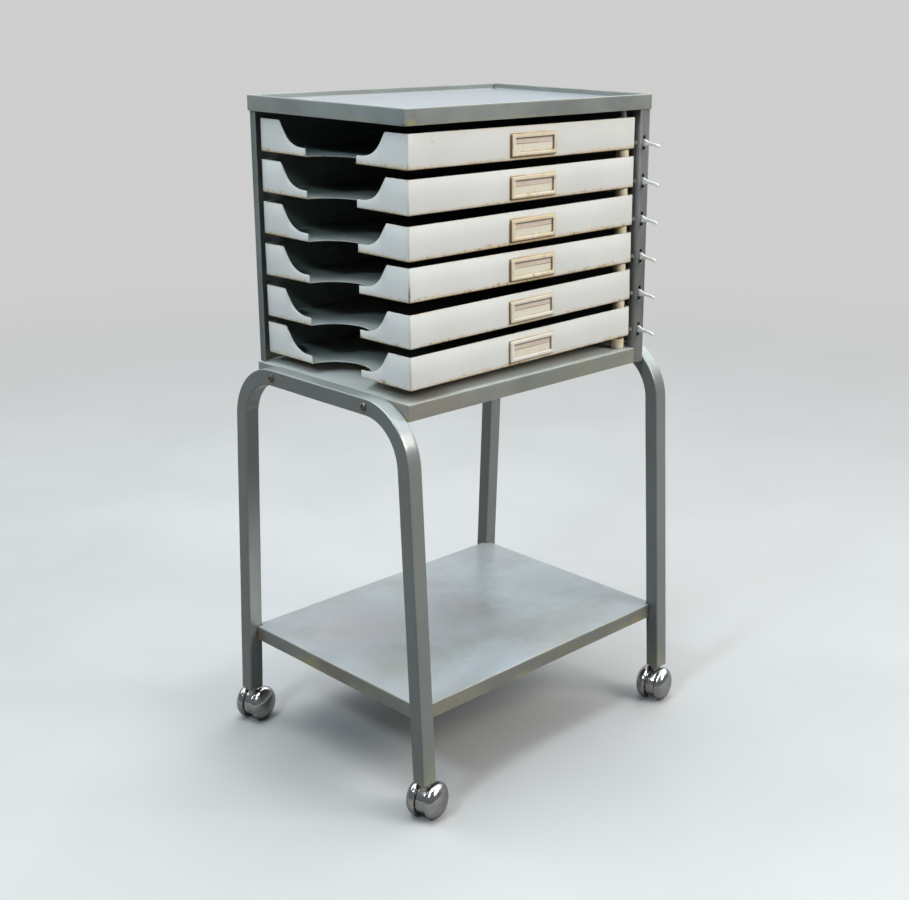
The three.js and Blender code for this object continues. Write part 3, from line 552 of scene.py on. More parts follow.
def lever_enamel(name):
    t = Tree(name)
    a = t.noise(0.12, 5, 0.6)
    col = t.mix(t.step(a, 0.35, 0.68), (0.66, 0.66, 0.63), (0.57, 0.55, 0.49))
    grip = t.step(t.y, LEVER_PIN_Y - 12.0, LEVER_PIN_Y - 2.0)
    col = t.mix(t.mul(t.mul(grip, t.step(a, 0.45, 0.6)), 0.4), col, (0.34, 0.30, 0.22))
    col = t.mix(t.mul(t.step(t.noise(0.5, 5, 0.65), 0.62, 0.70), 0.35), col, RUST)
    n = t.bump(t.add(t.mul(t.noise(1.0, 3, 0.6), 0.2), t.noise(0.15, 2, 0.4)), 0.25, 0.5)
    return t.surface(col, t.add(0.34, t.mul(t.sub(a, 0.5), 0.3)), n, coat=0.15)


def nylon(name):
    t = Tree(name)
    a = t.noise(0.10, 5, 0.6)
    rings = t.noise(0.9, 2, 0.5, stretch=(0.05, 0.05, 1.0))
    col = t.mix(t.step(a, 0.35, 0.68), (0.66, 0.62, 0.47), (0.60, 0.52, 0.33))
    col = t.mix(t.mul(t.step(t.noise(0.25, 5, 0.65), 0.56, 0.68), 0.45), col, (0.36, 0.24, 0.11))
    n = t.bump(t.add(t.mul(rings, 0.5), t.mul(a, 0.3)), 0.2, 0.4)
    return t.surface(col, t.add(0.46, t.mul(t.sub(rings, 0.5), 0.2)), n, sss=0.12)


def steel(name, tint=(0.42, 0.41, 0.39), rust=0.5, rough=0.38, rusts=(RUST_DARK, RUST_LIGHT)):
    t = Tree(name)
    a = t.noise(0.16, 5, 0.65)
    br = t.noise(1.6, 3, 0.6, stretch=(0.25, 0.25, 1.0))
    col = t.mix(t.step(br, 0.35, 0.65), tuple(c * 0.85 for c in tint), tint)
    rm = t.mul(t.step(a, 0.46, 0.62), rust)
    rusty = t.mix(t.step(t.noise(0.9, 4, 0.6), 0.35, 0.65), *rusts)
    col = t.mix(rm, col, rusty)
    n = t.bump(t.add(t.mul(br, 0.3), t.mul(a, 0.4)), 0.25, 0.5)
    return t.surface(col, t.add(rough, t.mul(rm, 0.4)), n, metal=t.sub(0.95, t.mul(rm, 0.9)))


def chrome(name, pitted=0.35):
    t = Tree(name)
    a = t.noise(0.20, 5, 0.65)
    scr = t.step(t.noise(0.9, 3, 0.5, stretch=(1.0, 0.15, 0.15), dist=0.5), 0.62, 0.70)
    col = t.mix(t.step(a, 0.35, 0.7), (0.66, 0.65, 0.63), (0.56, 0.55, 0.53))
    dull = t.step(t.noise(0.09, 4, 0.6), 0.48, 0.64)
    lowz = t.step(t.z, 14.0, 2.0)
    grime = t.m("MAXIMUM", t.mul(dull, 0.5), lowz)
    col = t.mix(t.mul(grime, 0.45), col, (0.20, 0.18, 0.14))
    pit = t.mul(t.step(t.cells(0.55), 0.20, 0.12), t.step(a, 0.50, 0.62))
    col = t.mix(t.mul(pit, pitted), col, RUST)
    n = t.bump(t.add(t.mul(scr, 0.15), t.sub(t.mul(t.noise(0.12, 2, 0.4), 0.7), t.mul(pit, 0.3))), 0.22, 0.5)
    r = t.add(t.add(0.13, t.mul(grime, 0.22)), t.add(t.mul(pit, 0.3), t.mul(scr, 0.10)))
    return t.surface(col, r, n, metal=t.sub(1.0, t.mul(pit, 0.7 * pitted)))


def dark_rubber(name):
    t = Tree(name)
    a = t.noise(0.25, 5, 0.65)
    col = t.mix(t.step(a, 0.4, 0.7), (0.045, 0.043, 0.040), (0.10, 0.095, 0.085))
    return t.surface(col, 0.7, t.bump(a, 0.3, 0.5))


# --------------------------------------------------------------- mesh helpers
def to_object(name, verts, faces, mats, ids=None, smooth=32.0, attrs=None, matrix=None, merge=1e-4):
    """A mesh object from vertices in mm; faces may carry material numbers."""
    me = bpy.data.meshes.new(name)
    me.from_pydata([(v[0] * MM, v[1] * MM, v[2] * MM) for v in verts], [], faces)
    if attrs:
        for key, vals in attrs.items():
            at = me.attributes.new(key, "FLOAT", "POINT")
            at.data.foreach_set("value", vals)
    for m in mats:
        me.materials.append(m)
    if ids is not None:
        me.polygons.foreach_set("material_index", ids)
    bm = bmesh.new()
    bm.from_mesh(me)
    bmesh.ops.remove_doubles(bm, verts=bm.verts, dist=merge * MM)
    bmesh.ops.dissolve_degenerate(bm, edges=bm.edges, dist=merge * MM)
    bmesh.ops.recalc_face_normals(bm, faces=bm.faces)
    for f in bm.faces:
        f.smooth = True
    bm.to_mesh(me)
    bm.free()
    me.set_sharp_from_angle(angle=smooth * DEG)
    me.update()
    ob = bpy.data.objects.new(name, me)
    bpy.context.scene.collection.objects.link(ob)
    if matrix is not None:
        ob.matrix_world = matrix
    return ob


def place(ob, body, nodes, slot, color=None):
    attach(ob, body)
    if nodes:
        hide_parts(*nodes)
    if color:
        ob.color = (color[0], color[1], color[2], 1.0)
    return ob


def outline(corners, d=0.0, step=16.0):
    """Closed rounded outline of a counter-clockwise polygon, moved inward by d.
    corners: (x, y, radius[, segments]); radius 0 with 0 segments keeps the point."""
    n = len(corners)
    P = [Vector((c[0], c[1])) for c in corners]
    E = []
    for i in range(n):
        e = P[(i + 1) % n] - P[i]
        L = e.length
        u = e / L
        E.append((u, Vector((u.y, -u.x)), L))
    arcs = []
    for i in range(n):
        u0, n0, _ = E[i - 1]
        u1, n1, _ = E[i]
        p = P[i] - (n0 + n1) * (d / (1 + n0.dot(n1)))
        r = corners[i][2]
        seg = corners[i][3] if len(corners[i]) > 3 else (6 if r > 0 else 0)
        if seg == 0:
            arcs.append([p])
            continue
        cr = u0.x * u1.y - u0.y * u1.x
        rr = max(r - d, 0.03) if cr > 0 else max(r + d, 0.03)
        ang = math.acos(max(-1.0, min(1.0, u0.dot(u1))))
        tt = rr * math.tan(ang / 2)
        a = p - u0 * tt
        c = a - n0 * rr if cr > 0 else a + n0 * rr
        a0 = math.atan2(a.y - c.y, a.x - c.x)
        s = 1 if cr > 0 else -1
        arcs.append([Vector((c.x + rr * math.cos(a0 + s * ang * k / seg), c.y + rr * math.sin(a0 + s * ang * k / seg)))
                     for k in range(seg + 1)])
    out = []
    for i in range(n):
        out += arcs[i]
        m = int(E[i][2] // step)
        a, b = arcs[i][-1], arcs[(i + 1) % n][0]
        out += [a.lerp(b, k / (m + 1)) for k in range(1, m + 1)]
    return out


def rect_corners(x0, x1, y0, y1, r, seg=6):
    return [(x0, y0, r, seg), (x1, y0, r, seg), (x1, y1, r, seg), (x0, y1, r, seg)]


def loft(rings, ids=None, caps=True, closed=False):
    """Vertices, faces and material numbers of a skin over equal-length rings."""
    m = len(rings[0])
    verts = [v for r in rings for v in r]
    faces, mid = [], []
    N = len(rings)
    for s in range(N if closed else N - 1):
        a0, b0 = s * m, ((s + 1) % N) * m
        for i in range(m):
            j = (i + 1) % m
            faces.append((a0 + i, a0 + j, b0 + j, b0 + i))
            mid.append(ids[s] if ids else 0)
    if caps and not closed:
        faces.append(tuple(range(m))[::-1])
        mid.append(ids[0] if ids else 0)
        faces.append(tuple((N - 1) * m + i for i in range(m)))
        mid.append(ids[-1] if ids else 0)
    return verts, faces, mid


def wobble(verts, amp, scale, seed=0.0):
    """Hand-made unevenness: moves vertices by smooth noise, amp in mm."""
    out = []
    for v in verts:
        q = noise.noise_vector(Vector((v[0] / scale + seed, v[1] / scale - seed * 0.7, v[2] / scale + seed * 1.3)))
        out.append((v[0] + q.x * amp, v[1] + q.y * amp, v[2] + q.z * amp * 0.6))
    return out


def arc(cx, cz, r, a0, a1, n):
    return [(cx + r * math.cos((a0 + (a1 - a0) * k / n) * DEG), cz + r * math.sin((a0 + (a1 - a0) * k / n) * DEG))
            for k in range(n + 1)]


def prism_z(corners, z0, z1, bevel=0.3, step=16.0, zsteps=1):
    prof = [(bevel, z0), (bevel * 0.3, z0 + bevel * 0.3), (0, z0 + bevel)]
    prof += [(0, z0 + bevel + (z1 - z0 - 2 * bevel) * k / zsteps) for k in range(1, zsteps)]
    prof += [(0, z1 - bevel), (bevel * 0.3, z1 - bevel * 0.3), (bevel, z1)]
    rings = [[(p.x, p.y, z) for p in outline(corners, d, step)] for d, z in prof]
    return loft(rings)


def turn_z(profile, seg, cx=0.0, cy=0.0):
    """Body of revolution about a vertical axis; the profile runs from axis to axis."""
    verts, faces, ringsidx = [], [], []
    for r, z in profile:
        if r < 1e-6:
            verts.append((cx, cy, z))
            ringsidx.append([len(verts) - 1] * seg)
        else:
            base = len(verts)
            for i in range(seg):
                a = 2 * math.pi * i / seg
                verts.append((cx + r * math.cos(a), cy + r * math.sin(a), z))
            ringsidx.append(list(range(base, base + seg)))
    for a, b in zip(ringsidx, ringsidx[1:]):
        for i in range(seg):
            j = (i + 1) % seg
            f = [a[i], a[j], b[j], b[i]]
            g = []
            for q in f:
                if q not in g:
                    g.append(q)
            if len(g) > 2:
                faces.append(tuple(g))
    return verts, faces


def bored(profile_outer, bore, seg, cx, cy):
    """Sleeve: outer profile [(r, z)] from bottom to top, straight bore."""
    z0, z1 = profile_outer[0][1], profile_outer[-1][1]
    prof = [(bore + 0.25, z0)] + profile_outer + [(bore + 0.25, z1), (bore, z1 - 0.25), (bore, z0 + 0.25)]
    rings = [[(cx + r * math.cos(2 * math.pi * i / seg), cy + r * math.sin(2 * math.pi * i / seg), z) for i in range(seg)]
             for r, z in prof]
    return loft(rings, closed=True)


def map_points(verts, f):
    return [f(v) for v in verts]


def boolean(ob, cutter, smooth=32.0):
    """Cuts cutter out of ob for good."""
    mod = ob.modifiers.new("cut", "BOOLEAN")
    mod.operation = "DIFFERENCE"
    mod.solver = "EXACT"
    mod.object = cutter
    dg = bpy.context.evaluated_depsgraph_get()
    me = bpy.data.meshes.new_from_object(ob.evaluated_get(dg))
    ob.modifiers.clear()
    old = ob.data
    ob.data = me
    bpy.data.meshes.remove(old)
    for p in me.polygons:
        p.use_smooth = True
    me.set_sharp_from_angle(angle=smooth * DEG)
    bpy.data.objects.remove(cutter)
    return ob


def join_lists(parts):
    verts, faces, ids = [], [], []
    for p in parts:
        off = len(verts)
        verts += p[0]
        faces += [tuple(i + off for i in f) for f in p[1]]
        ids += list(p[2]) if len(p) > 2 else [0] * len(p[1])
    return verts, faces, ids


# ----------------------------------------------------------- paint variants
PAINT = (0.185, 0.200, 0.186)
TUBE_PAINT = (0.150, 0.162, 0.150)

OLIVE = (0.30, 0.27, 0.10)
m_top = grey_paint("paint_top_pan", (0.196, 0.212, 0.204), box=(TOP_LO, TOP_HI), low=(TOP_LO.z, 6), stain=0.25,
                   chips=0.40, warm=0.15, rust=0.35, marks=[
                       ((TOP_LO.x + 9, TOP_LO.y, TOP_LO.z), 9, OLIVE, 0.70), ((TOP_LO.x, TOP_LO.y + 2, TOP_LO.z), 5, (0.10, 0.085, 0.045), 0.7),
                       ((TOP_LO.x + 26, TOP_LO.y, TOP_LO.z - 1), 6, OLIVE, 0.45),
                       ((TOP_LO.x, 10, TOP_LO.z + 9), 34, (0.25, 0.27, 0.265), 0.5), ((TOP_HI.x, TOP_LO.y, TOP_LO.z), 22, (0.22, 0.22, 0.16), 0.5)])
m_top_panel = panel_enamel("paint_top_panel", TOP_LO, TOP_HI)
# the base's top tint is painted sheen; its dark top patch at the front-left corner is painted shadow under the trays,
# partly stain
m_base = grey_paint("paint_base_pan", (0.188, 0.195, 0.178), box=(BASE_LO, BASE_HI), low=(BASE_LO.z, 10), stain=0.25,
                    chips=0.45, warm=0.20, rust=0.30, top_sheen_tint=(0.44, 0.475, 0.465), rough=0.34, coat=0.3, mottled=0.5,
                    scuffs=0.12, top_light_shade_and_stains=[((BASE_LO.x + 30, BASE_LO.y + 10, BASE_HI.z), 60, (0.23, 0.22, 0.185), 0.8)], marks=[
                        ((BASE_LO.x + 20, BASE_LO.y, BASE_LO.z + 8), 85, (0.225, 0.200, 0.165), 0.7),
                        ((BASE_LO.x, BASE_LO.y, BASE_LO.z), 9, OLIVE, 0.35), ((70, BASE_LO.y, BASE_LO.z + 2), 45, (0.22, 0.22, 0.16), 0.5)])
m_side = grey_paint("paint_side_panel", PAINT, box=(SIDE_LO, SIDE_HI), low=(SIDE_LO.z, 26), chips=0.35, rust=0.3)
m_back = grey_paint("paint_back_panel", PAINT, box=(BACK_LO, BACK_HI), low=(BACK_LO.z, 26), chips=0.35, rust=0.3)
m_rpost = grey_paint("paint_rear_post", (0.140, 0.157, 0.150), box=(RPOST_LO, RPOST_HI), chips=0.20, rust=0.15, stain=0.2)
m_fpost = grey_paint("paint_front_post", (0.150, 0.152, 0.150), box=(FPOST_LO, FPOST_HI), chips=0.30, rust=0.20,
                     mottled=0.4, marks=[((175, -120, 0.5 * (FPOST_LO.z + FPOST_HI.z) - 70), 95, (0.105, 0.112, 0.100), 0.8)])
# painted sheen on the tube faces turned upward and painted shade on those turned to -X; the patches at the bolts are
# stains
m_tube = grey_paint("paint_tubes", (0.160, 0.172, 0.158), chips=0.06, rough=0.25, rust=0.10, coat=0.7, spec=0.9, painted_left_shade=0.26, top_sheen_tint=(0.285, 0.312, 0.303), sheen_from=0.30,
                    cloudy=0.03, mottled=0.25, scuffs=0.0, uneven=0.6,
                    low=(45.0, 60.0), stain=0.28, marks=[
                        ((-FRAME_X - TUBE / 2, BOLT_Y[0], BOLT_Z - 3), 8, (0.17, 0.14, 0.07), 0.7),
                        ((-FRAME_X - TUBE / 2, BOLT_Y[1], BOLT_Z - 3), 8, (0.17, 0.14, 0.07), 0.7)])
# painted sheen on the shelf top; its top patches are painted pools of light and painted shade
m_shelf = grey_paint("paint_shelf", (0.158, 0.160, 0.142), box=(SHELF_LO, SHELF_HI), low=(SHELF_LO.z, 11), stain=0.35,
                     mottled=0.3, scuffs=0.0, cloudy=0.05, uneven=0.35,
                     chips=0.50, warm=0.30, rust=0.45, rough=0.25, smudge=0.16, coat=0.5, top_sheen_tint=(0.305, 0.328, 0.340), marks=[
                         ((SHELF_LO.x, 0, SHELF_LO.z + 8), 42, (0.16, 0.095, 0.055), 0.35), ((SHELF_LO.x, 42, SHELF_LO.z + 3), 22, OLIVE, 0.45),
                         ((SHELF_LO.x, 147, SHELF_LO.z + 3), 11, RUST, 0.50), ((-150, SHELF_LO.y, SHELF_LO.z + 2), 70, (0.25, 0.235, 0.165), 0.55),
                         ((168, SHELF_LO.y, SHELF_LO.z + 2), 10, (0.36, 0.20, 0.07), 0.40)], top_light_shade_and_stains=[
                         ((-120, 60, SHELF_HI.z), 95, (0.31, 0.285, 0.29), 0.5), ((20, 20, SHELF_HI.z), 60, (0.25, 0.24, 0.255), 0.5),
                         ((150, 0, SHELF_HI.z), 130, (0.37, 0.42, 0.44), 0.7), ((-60, -130, SHELF_HI.z), 80, (0.33, 0.38, 0.41), 0.6)])
TL = (TRAY_X0 - ROD_X, TRAY_Y0 - ROD_Y, 0.0)
TH = (TRAY_X1 - ROD_X, TRAY_Y1 - ROD_Y, TRAY_H)
LABEL_AT = (LABEL_X - ROD_X, TRAY_H / 2 + LABEL_DZ)
m_tray = tray_enamel("enamel_tray", TL, TH, LABEL_AT)
m_inside = tray_inside("paint_tray_inside")
m_cut = cut_edge("worn_sheet_edge")
m_label = label_metal("label_frame_metal")
m_pocket = label_pocket("label_backing")
m_card = card_paper("label_card_paper")
m_lever = lever_enamel("lever_enamel")
m_nylon = nylon("bush_nylon")
m_steel = steel("bright_steel", rust=0.35)
m_bolt = steel("bolt_steel", tint=(0.20, 0.17, 0.13), rust=0.9, rough=0.5, rusts=((0.045, 0.028, 0.016), (0.17, 0.10, 0.045)))
m_chrome = chrome("caster_chrome")
m_plug = steel("caster_plug_steel", tint=(0.22, 0.22, 0.21), rust=0.4, rough=0.5)
m_tread = dark_rubber("caster_seam")

# ------------------------------------------------------------------- top pan
hx, hy = (TOP_HI.x - TOP_LO.x) / 2, (TOP_HI.y - TOP_LO.y) / 2
z0, z1, zp = TOP_LO.z, TOP_HI.z, TOP_HI.z - 7.2
corners = rect_corners(-hx, hx, -hy, hy, 2.2, 7)
prof, ids = [], []


def seg(points, mat):
    for p in points:
        prof.append(p)
        ids.append(mat)


seg([(40.0, zp - 0.15), (4.15, zp), ], 1)
seg([(4.0 + 1.4 * math.cos(a * DEG), zp + 1.4 + 1.4 * math.sin(a * DEG)) for a in (262, 240, 215, 190)], 1)
seg([(2.6, zp + 2.2), (2.6, z1 - 1.35)], 0)
seg([(1.3 + 1.3 * math.cos(a * DEG), z1 - 1.3 + 1.3 * math.sin(a * DEG)) for a in (20, 50, 75, 100, 125, 150, 172)], 0)
seg([(0.0, z1 - 1.5), (0.0, (z0 + z1) / 2 + 2), (0.0, (z0 + z1) / 2 - 3), (0.0, z0 + 0.65)], 0)
seg([(0.62 + 0.62 * math.cos(a * DEG), z0 + 0.62 + 0.62 * math.sin(a * DEG)) for a in (200, 235, 270, 305, 340)], 0)
zu = zp - SHEET
seg([(1.24, z0 + 0.8), (1.24, zu - 1.2), (1.5, zu - 0.35), (2.3, zu), (30.0, zu + 0.05)], 0)
rings = [[(p.x, p.y, z) for p in outline(corners, min(d, 4.15), 14.0)] if d < 20 else
         [(p.x * (hx - d) / hx, p.y * (hy - d) / hy, z) for p in outline(corners, 0, 14.0)] for d, z in prof]
v, f, mid = loft(rings, ids)
v = wobble(v, 0.35, 75.0, 1.7)
place(to_object("top_pan_shell", v, f, [m_top, m_top_panel], mid), "cabinet", ["top_pan"], "cabinet_paint", (0.13, 0.5, 0.5))

# ------------------------------------------------------------------ base pan
hx, hy = (BASE_HI.x - BASE_LO.x) / 2, (BASE_HI.y - BASE_LO.y) / 2
z0, z1 = BASE_LO.z, BASE_HI.z
xn = FPOST_LO.x - GAP
yn = FPOST_LO.y + SHEET + GAP
corners = [
    (-hx, -hy, 1.9), (xn, -hy, 0.8, 3), (xn, FPOST_HI.y + GAP, 0.3, 2), (xn + SHEET + 2 * GAP, FPOST_HI.y + GAP, 0.3, 2),
    (xn + SHEET + 2 * GAP, yn, 0.3, 2), (hx, yn, 1.6, 4), (hx, hy, 1.9), (-hx, hy, 1.9),
]
prof, ids = [], []
seg([(1.9, z1)], 0)
seg([(1.7 + 1.7 * math.cos(a * DEG), z1 - 1.7 + 1.7 * math.sin(a * DEG)) for a in (105, 120, 135, 150, 165)], 0)
seg([(0.0, z1 - 1.8), (0.0, (z0 + z1) / 2 + 2), (0.0, (z0 + z1) / 2 - 3), (0.0, z0 + 0.65)], 0)
seg([(0.62 + 0.62 * math.cos(a * DEG), z0 + 0.62 + 0.62 * math.sin(a * DEG)) for a in (200, 235, 270, 305, 340)], 0)
seg([(1.24, z0 + 0.8), (1.24, z1 - SHEET - 1.0), (1.6, z1 - SHEET - 0.3), (2.4, z1 - SHEET)], 0)
rings = [[(p.x, p.y, z) for p in outline(corners, d, 14.0)] for d, z in prof]
v, f, mid = loft(rings, ids)
v = wobble(v, 0.30, 80.0, 4.1)
base_ob = to_object("base_pan_shell", v, f, [m_base], mid)
place(base_ob, "cabinet", ["base_pan"], "cabinet_paint", (0.31, 0.5, 0.5))

# ----------------------------------------------------------- panels and posts
lo, hi = SIDE_LO, SIDE_HI
v, f, mid = prism_z(rect_corners(lo.x, hi.x, lo.y, hi.y, 0.35, 3), lo.z, hi.z, 0.3, 22.0, 12)
side = to_object("side_panel_sheet", wobble(v, 0.0, 80.0), f, [m_side], mid)
rings = []
cut = []
for k in range(TRAYS):
    z = H - SLOT_DROP - k * TRAY_PITCH
    c = [[(x, LEVER_PIN_Y + 2.7 * math.cos(2 * math.pi * i / 20), z + 2.7 * math.sin(2 * math.pi * i / 20)) for i in range(20)]
         for x in (lo.x - 2, hi.x + 2)]
    cut.append(loft(c))
v, f, mid = join_lists(cut)
boolean(side, to_object("side_cut", v, f, []))
place(side, "cabinet", ["right_side_panel"], "cabinet_paint", (0.47, 0.5, 0.5))

lo, hi = BACK_LO, BACK_HI
v, f, mid = prism_z(rect_corners(lo.x, hi.x, lo.y, hi.y, 0.35, 3), lo.z, hi.z, 0.3, 22.0, 12)
place(to_object("back_panel_sheet", v, f, [m_back], mid), "cabinet", ["back_panel"], "cabinet_paint", (0.58, 0.5, 0.5))

lo, hi = RPOST_LO, RPOST_HI
y1 = hi.y
corners = [
    (lo.x, lo.y, 0.45, 3), (lo.x + SHEET, lo.y, 0.45, 3), (lo.x + SHEET, y1 - SHEET, 0.5, 3),
    (hi.x, y1 - SHEET, 0.45, 3), (hi.x, y1, 0.45, 3), (lo.x, y1, 1.7, 6),
]
v, f, mid = prism_z(corners, lo.z, hi.z, 0.25, 12.0, 16)
place(to_object("rear_post_angle", wobble(v, 0.12, 60.0, 2.2), f, [m_rpost], mid), "cabinet", ["rear_left_post"], "cabinet_paint", (0.66, 0.5, 0.5))

lo, hi = FPOST_LO, FPOST_HI
corners = [
    (lo.x, lo.y, 1.6, 6), (hi.x, lo.y, 0.9, 5), (hi.x, lo.y + SHEET, 0.3, 3), (lo.x + SHEET, lo.y + SHEET, 0.5, 3),
    (lo.x + SHEET, hi.y, 0.45, 3), (lo.x, hi.y, 0.45, 3),
]
v, f, mid = prism_z(corners, lo.z, hi.z, 0.35, 12.0, 1)
post = to_object("front_post_channel", v, f, [m_fpost], mid)
cut = []
for k in range(TRAYS):
    z = H - SLOT_DROP - k * TRAY_PITCH
    rings = []
    for y, grow in ((lo.y - 2, 0.45), (lo.y - 0.01, 0.45), (lo.y + 0.45, 0.0), (lo.y + SHEET + 2.5, 0.0)):
        o = outline(rect_corners(SLOT_X - SLOT_W / 2, SLOT_X + SLOT_W / 2, z - SLOT_H / 2, z + SLOT_H / 2, SLOT_W / 2 - 0.02, 8), -grow, 99)
        rings.append([(p.x, y, p.y) for p in o])
    cut.append(loft(rings))
    c = [[(x, LEVER_PIN_Y + 2.7 * math.cos(2 * math.pi * i / 20), z + 2.7 * math.sin(2 * math.pi * i / 20)) for i in range(20)]
         for x in (lo.x - 2, lo.x + SHEET + 2)]
    cut.append(loft(c))
v, f, mid = join_lists(cut)
boolean(post, to_object("post_cut", v, f, []))
place(post, "cabinet", ["front_right_post"], "cabinet_paint", (0.74, 0.5, 0.5))

# ------------------------------------------------------------- pivot parts
v, f = turn_z([(0, ROD_LO.z), (ROD_R - 0.8, ROD_LO.z), (ROD_R, ROD_LO.z + 0.8), (ROD_R, ROD_HI.z - 0.8), (ROD_R - 0.8, ROD_HI.z), (0, ROD_HI.z)], 32, ROD_X, ROD_Y)
place(to_object("pivot_rod_bar", v, f, [m_steel]), "cabinet", ["pivot_rod"], "bright_steel", (0.2, 0.5, 0.5))


def sleeve_profile(r, a, b, flare=0.0):
    c = 0.7
    return [(r + flare - c, a), (r + flare - 0.2, a + 0.2), (r + flare, a + c), (r + flare * 0.5, a + c + 1.2), (r, a + c + 2.4),
            (r - 0.15, (a + b) / 2), (r, b - c), (r - 0.2, b - 0.2), (r - c, b)]


rr = (FBUSH_HI.x - FBUSH_LO.x) / 2
a, b = FBUSH_LO.z, FBUSH_HI.z
v, f, mid = bored([(rr - 0.6, a), (rr - 0.15, a + 0.15), (rr, a + 0.6), (rr, b - 0.6), (rr - 0.15, b - 0.15), (rr - 0.6, b)], ROD_R + GAP, 36, ROD_X, ROD_Y)
place(to_object("pivot_foot_bush_ring", v, f, [m_nylon], mid), "cabinet", ["pivot_foot_bush"], "bush_nylon", (0.4, 0.5, 0.5))
rr = (WASH_HI.x - WASH_LO.x) / 2
a, b = WASH_LO.z, WASH_HI.z
v, f, mid = bored([(rr - 0.4, a), (rr - 0.1, a + 0.1), (rr, a + 0.4), (rr, b - 0.4), (rr - 0.1, b - 0.1), (rr - 0.4, b)], ROD_R + GAP, 36, ROD_X, ROD_Y)
place(to_object("pivot_washer_ring", v, f, [m_bolt], mid), "cabinet", ["pivot_washer"], "bright_steel", (0.6, 0.5, 0.5))

# ------------------------------------------------------------------- trays
def smooth_curve(pts, per):
    """Catmull-Rom through points, per samples in each span"""
    out = []
    n = len(pts)
    for i in range(n - 1):
        p0, p1, p2, p3 = (Vector(pts[max(i - 1, 0)]), Vector(pts[i]), Vector(pts[i + 1]), Vector(pts[min(i + 2, n - 1)]))
        for k in range(per):
            t = k / per
            out.append(0.5 * ((2 * p1) + (p2 - p0) * t + (2 * p0 - 5 * p1 + 4 * p2 - p3) * t * t + (3 * p1 - p0 - 3 * p2 + p3) * t ** 3))
    out.append(Vector(pts[-1]))
    return out


def tray_mesh():
    x0, x1, y0, y1 = TL[0], TH[0], TL[1], TH[1]
    yc = SCOOP_Y - ROD_Y
    R, T = 2.6, 1.0
    corners = [(x0, y0, R, 7), (x1, y0, R, 7), (x1, y1, R, 7), (x0, y1, R, 7)]
    heights = {}
    # free end, from the rear corner to the front corner
    half = smooth_curve([(d, z) for d, z in SCOOP_CURVE], 3)
    side = []                                     # (y offset from the scoop centre, height)
    side.append((91.6, TRAY_H))
    for q in half:
        side.append((q.x, TRAY_H - q.y))
    side.append((SCOOP_HALF + 0.92, T))
    pts = [(x0, yc + d, h) for d, h in side]
    n = 30
    for i in range(n + 1):
        a = 90 * DEG - math.pi * i / n
        pts.append((x0 + SCOOP_DEEP * math.cos(a), yc + SCOOP_HALF * math.sin(a), T))
    pts += [(x0, yc - d, h) for d, h in reversed(side)]
    for p in pts:
        corners.append((p[0], p[1], 0.0, 0))
    # heights per outline point, matched by walking the outline once
    step = 16.0
    base = outline(corners, 0.0, step)
    hts = []
    for p in base:
        if abs(p.x - x0) < 1e-4 and abs(p.y - yc) <= 91.7:
            d = abs(p.y - yc)
            h = TRAY_H
            if d <= SCOOP_HALF + 0.95:
                h = T
            else:
                for (d1, h1), (d0, h0) in zip(side[:-1], side[1:]):
                    if d0 <= d <= d1 + 1e-6:
                        t = 0 if d1 - d0 < 1e-9 else (d - d0) / (d1 - d0)
                        h = h0 + (h1 - h0) * t
                        break
            hts.append(h)
        elif p.x > x0 + 1e-4 and p.x < x0 + SCOOP_DEEP + 0.5 and abs(p.y - yc) < SCOOP_HALF + 0.01:
            hts.append(T)
        else:
            hts.append(TRAY_H)
    # (inset, height rule, material of the band that follows)
    spec = [
        (1.5, lambda h: 0.0, 0), (0.93, lambda h: 0.11, 0), (0.44, lambda h: min(0.44, 0.42 * h), 0),
        (0.11, lambda h: min(0.93, 0.48 * h), 0), (0.0, lambda h: min(1.5, 0.55 * h), 0),
        (0.0, lambda h: max(min(1.5, 0.55 * h), 0.5 * h), 0),
        (0.0, lambda h: h - 0.34, 2), (0.10, lambda h: h - 0.10, 2), (0.34, lambda h: h, 2), (0.66, lambda h: h, 2),
        (0.90, lambda h: max(h - 0.10, T), 1), (T, lambda h: max(h - 0.34, T), 1),
        (T, lambda h: max(0.5 * h, T), 1), (T, lambda h: min(2.2, max(h - 0.36, T)), 1),
        (1.09, lambda h: min(1.74, max(h - 0.36, T)), 1), (1.35, lambda h: min(1.35, max(h - 0.36, T)), 1),
        (1.74, lambda h: min(1.09, max(h - 0.36, T)), 1), (2.2, lambda h: T, 1),
    ]
    rings, ids = [], []
    for d, rule, m in spec:
        o = outline(corners, d, step)
        rings.append([(p.x, p.y, rule(h)) for p, h in zip(o, hts)])
        ids.append(m)
    return loft(rings, ids)


tray_v, tray_f, tray_mid = tray_mesh()
RUSTY = [0.55, 0.60, 0.75, 0.85, 0.80, 0.95]
YELLOW = [0.75, 0.70, 0.85, 0.80, 0.60, 0.70]
LABEL_RUST = [0.95, 0.75, 0.90, 0.80, 0.60, 0.30]
LABEL_YELLOW = (0.75, 0.80, 0.95, 0.75, 0.35, 0.10)

flat = to_object("tray_flat", tray_v, tray_f, [m_tray, m_inside, m_cut], tray_mid, merge=2e-3)
hole = loft([[(5.0 * math.cos(2 * math.pi * i / 28), 5.0 * math.sin(2 * math.pi * i / 28), z) for i in range(28)] for z in (-3, 4)])
boolean(flat, to_object("hole", hole[0], hole[1], []))
bm = bmesh.new()
bm.from_mesh(flat.data)
bmesh.ops.triangulate(bm, faces=[f for f in bm.faces if len(f.verts) > 4], quad_method="BEAUTY", ngon_method="BEAUTY")
bm.to_mesh(flat.data)
bm.free()
flat_mesh = flat.data
bpy.data.objects.remove(flat)

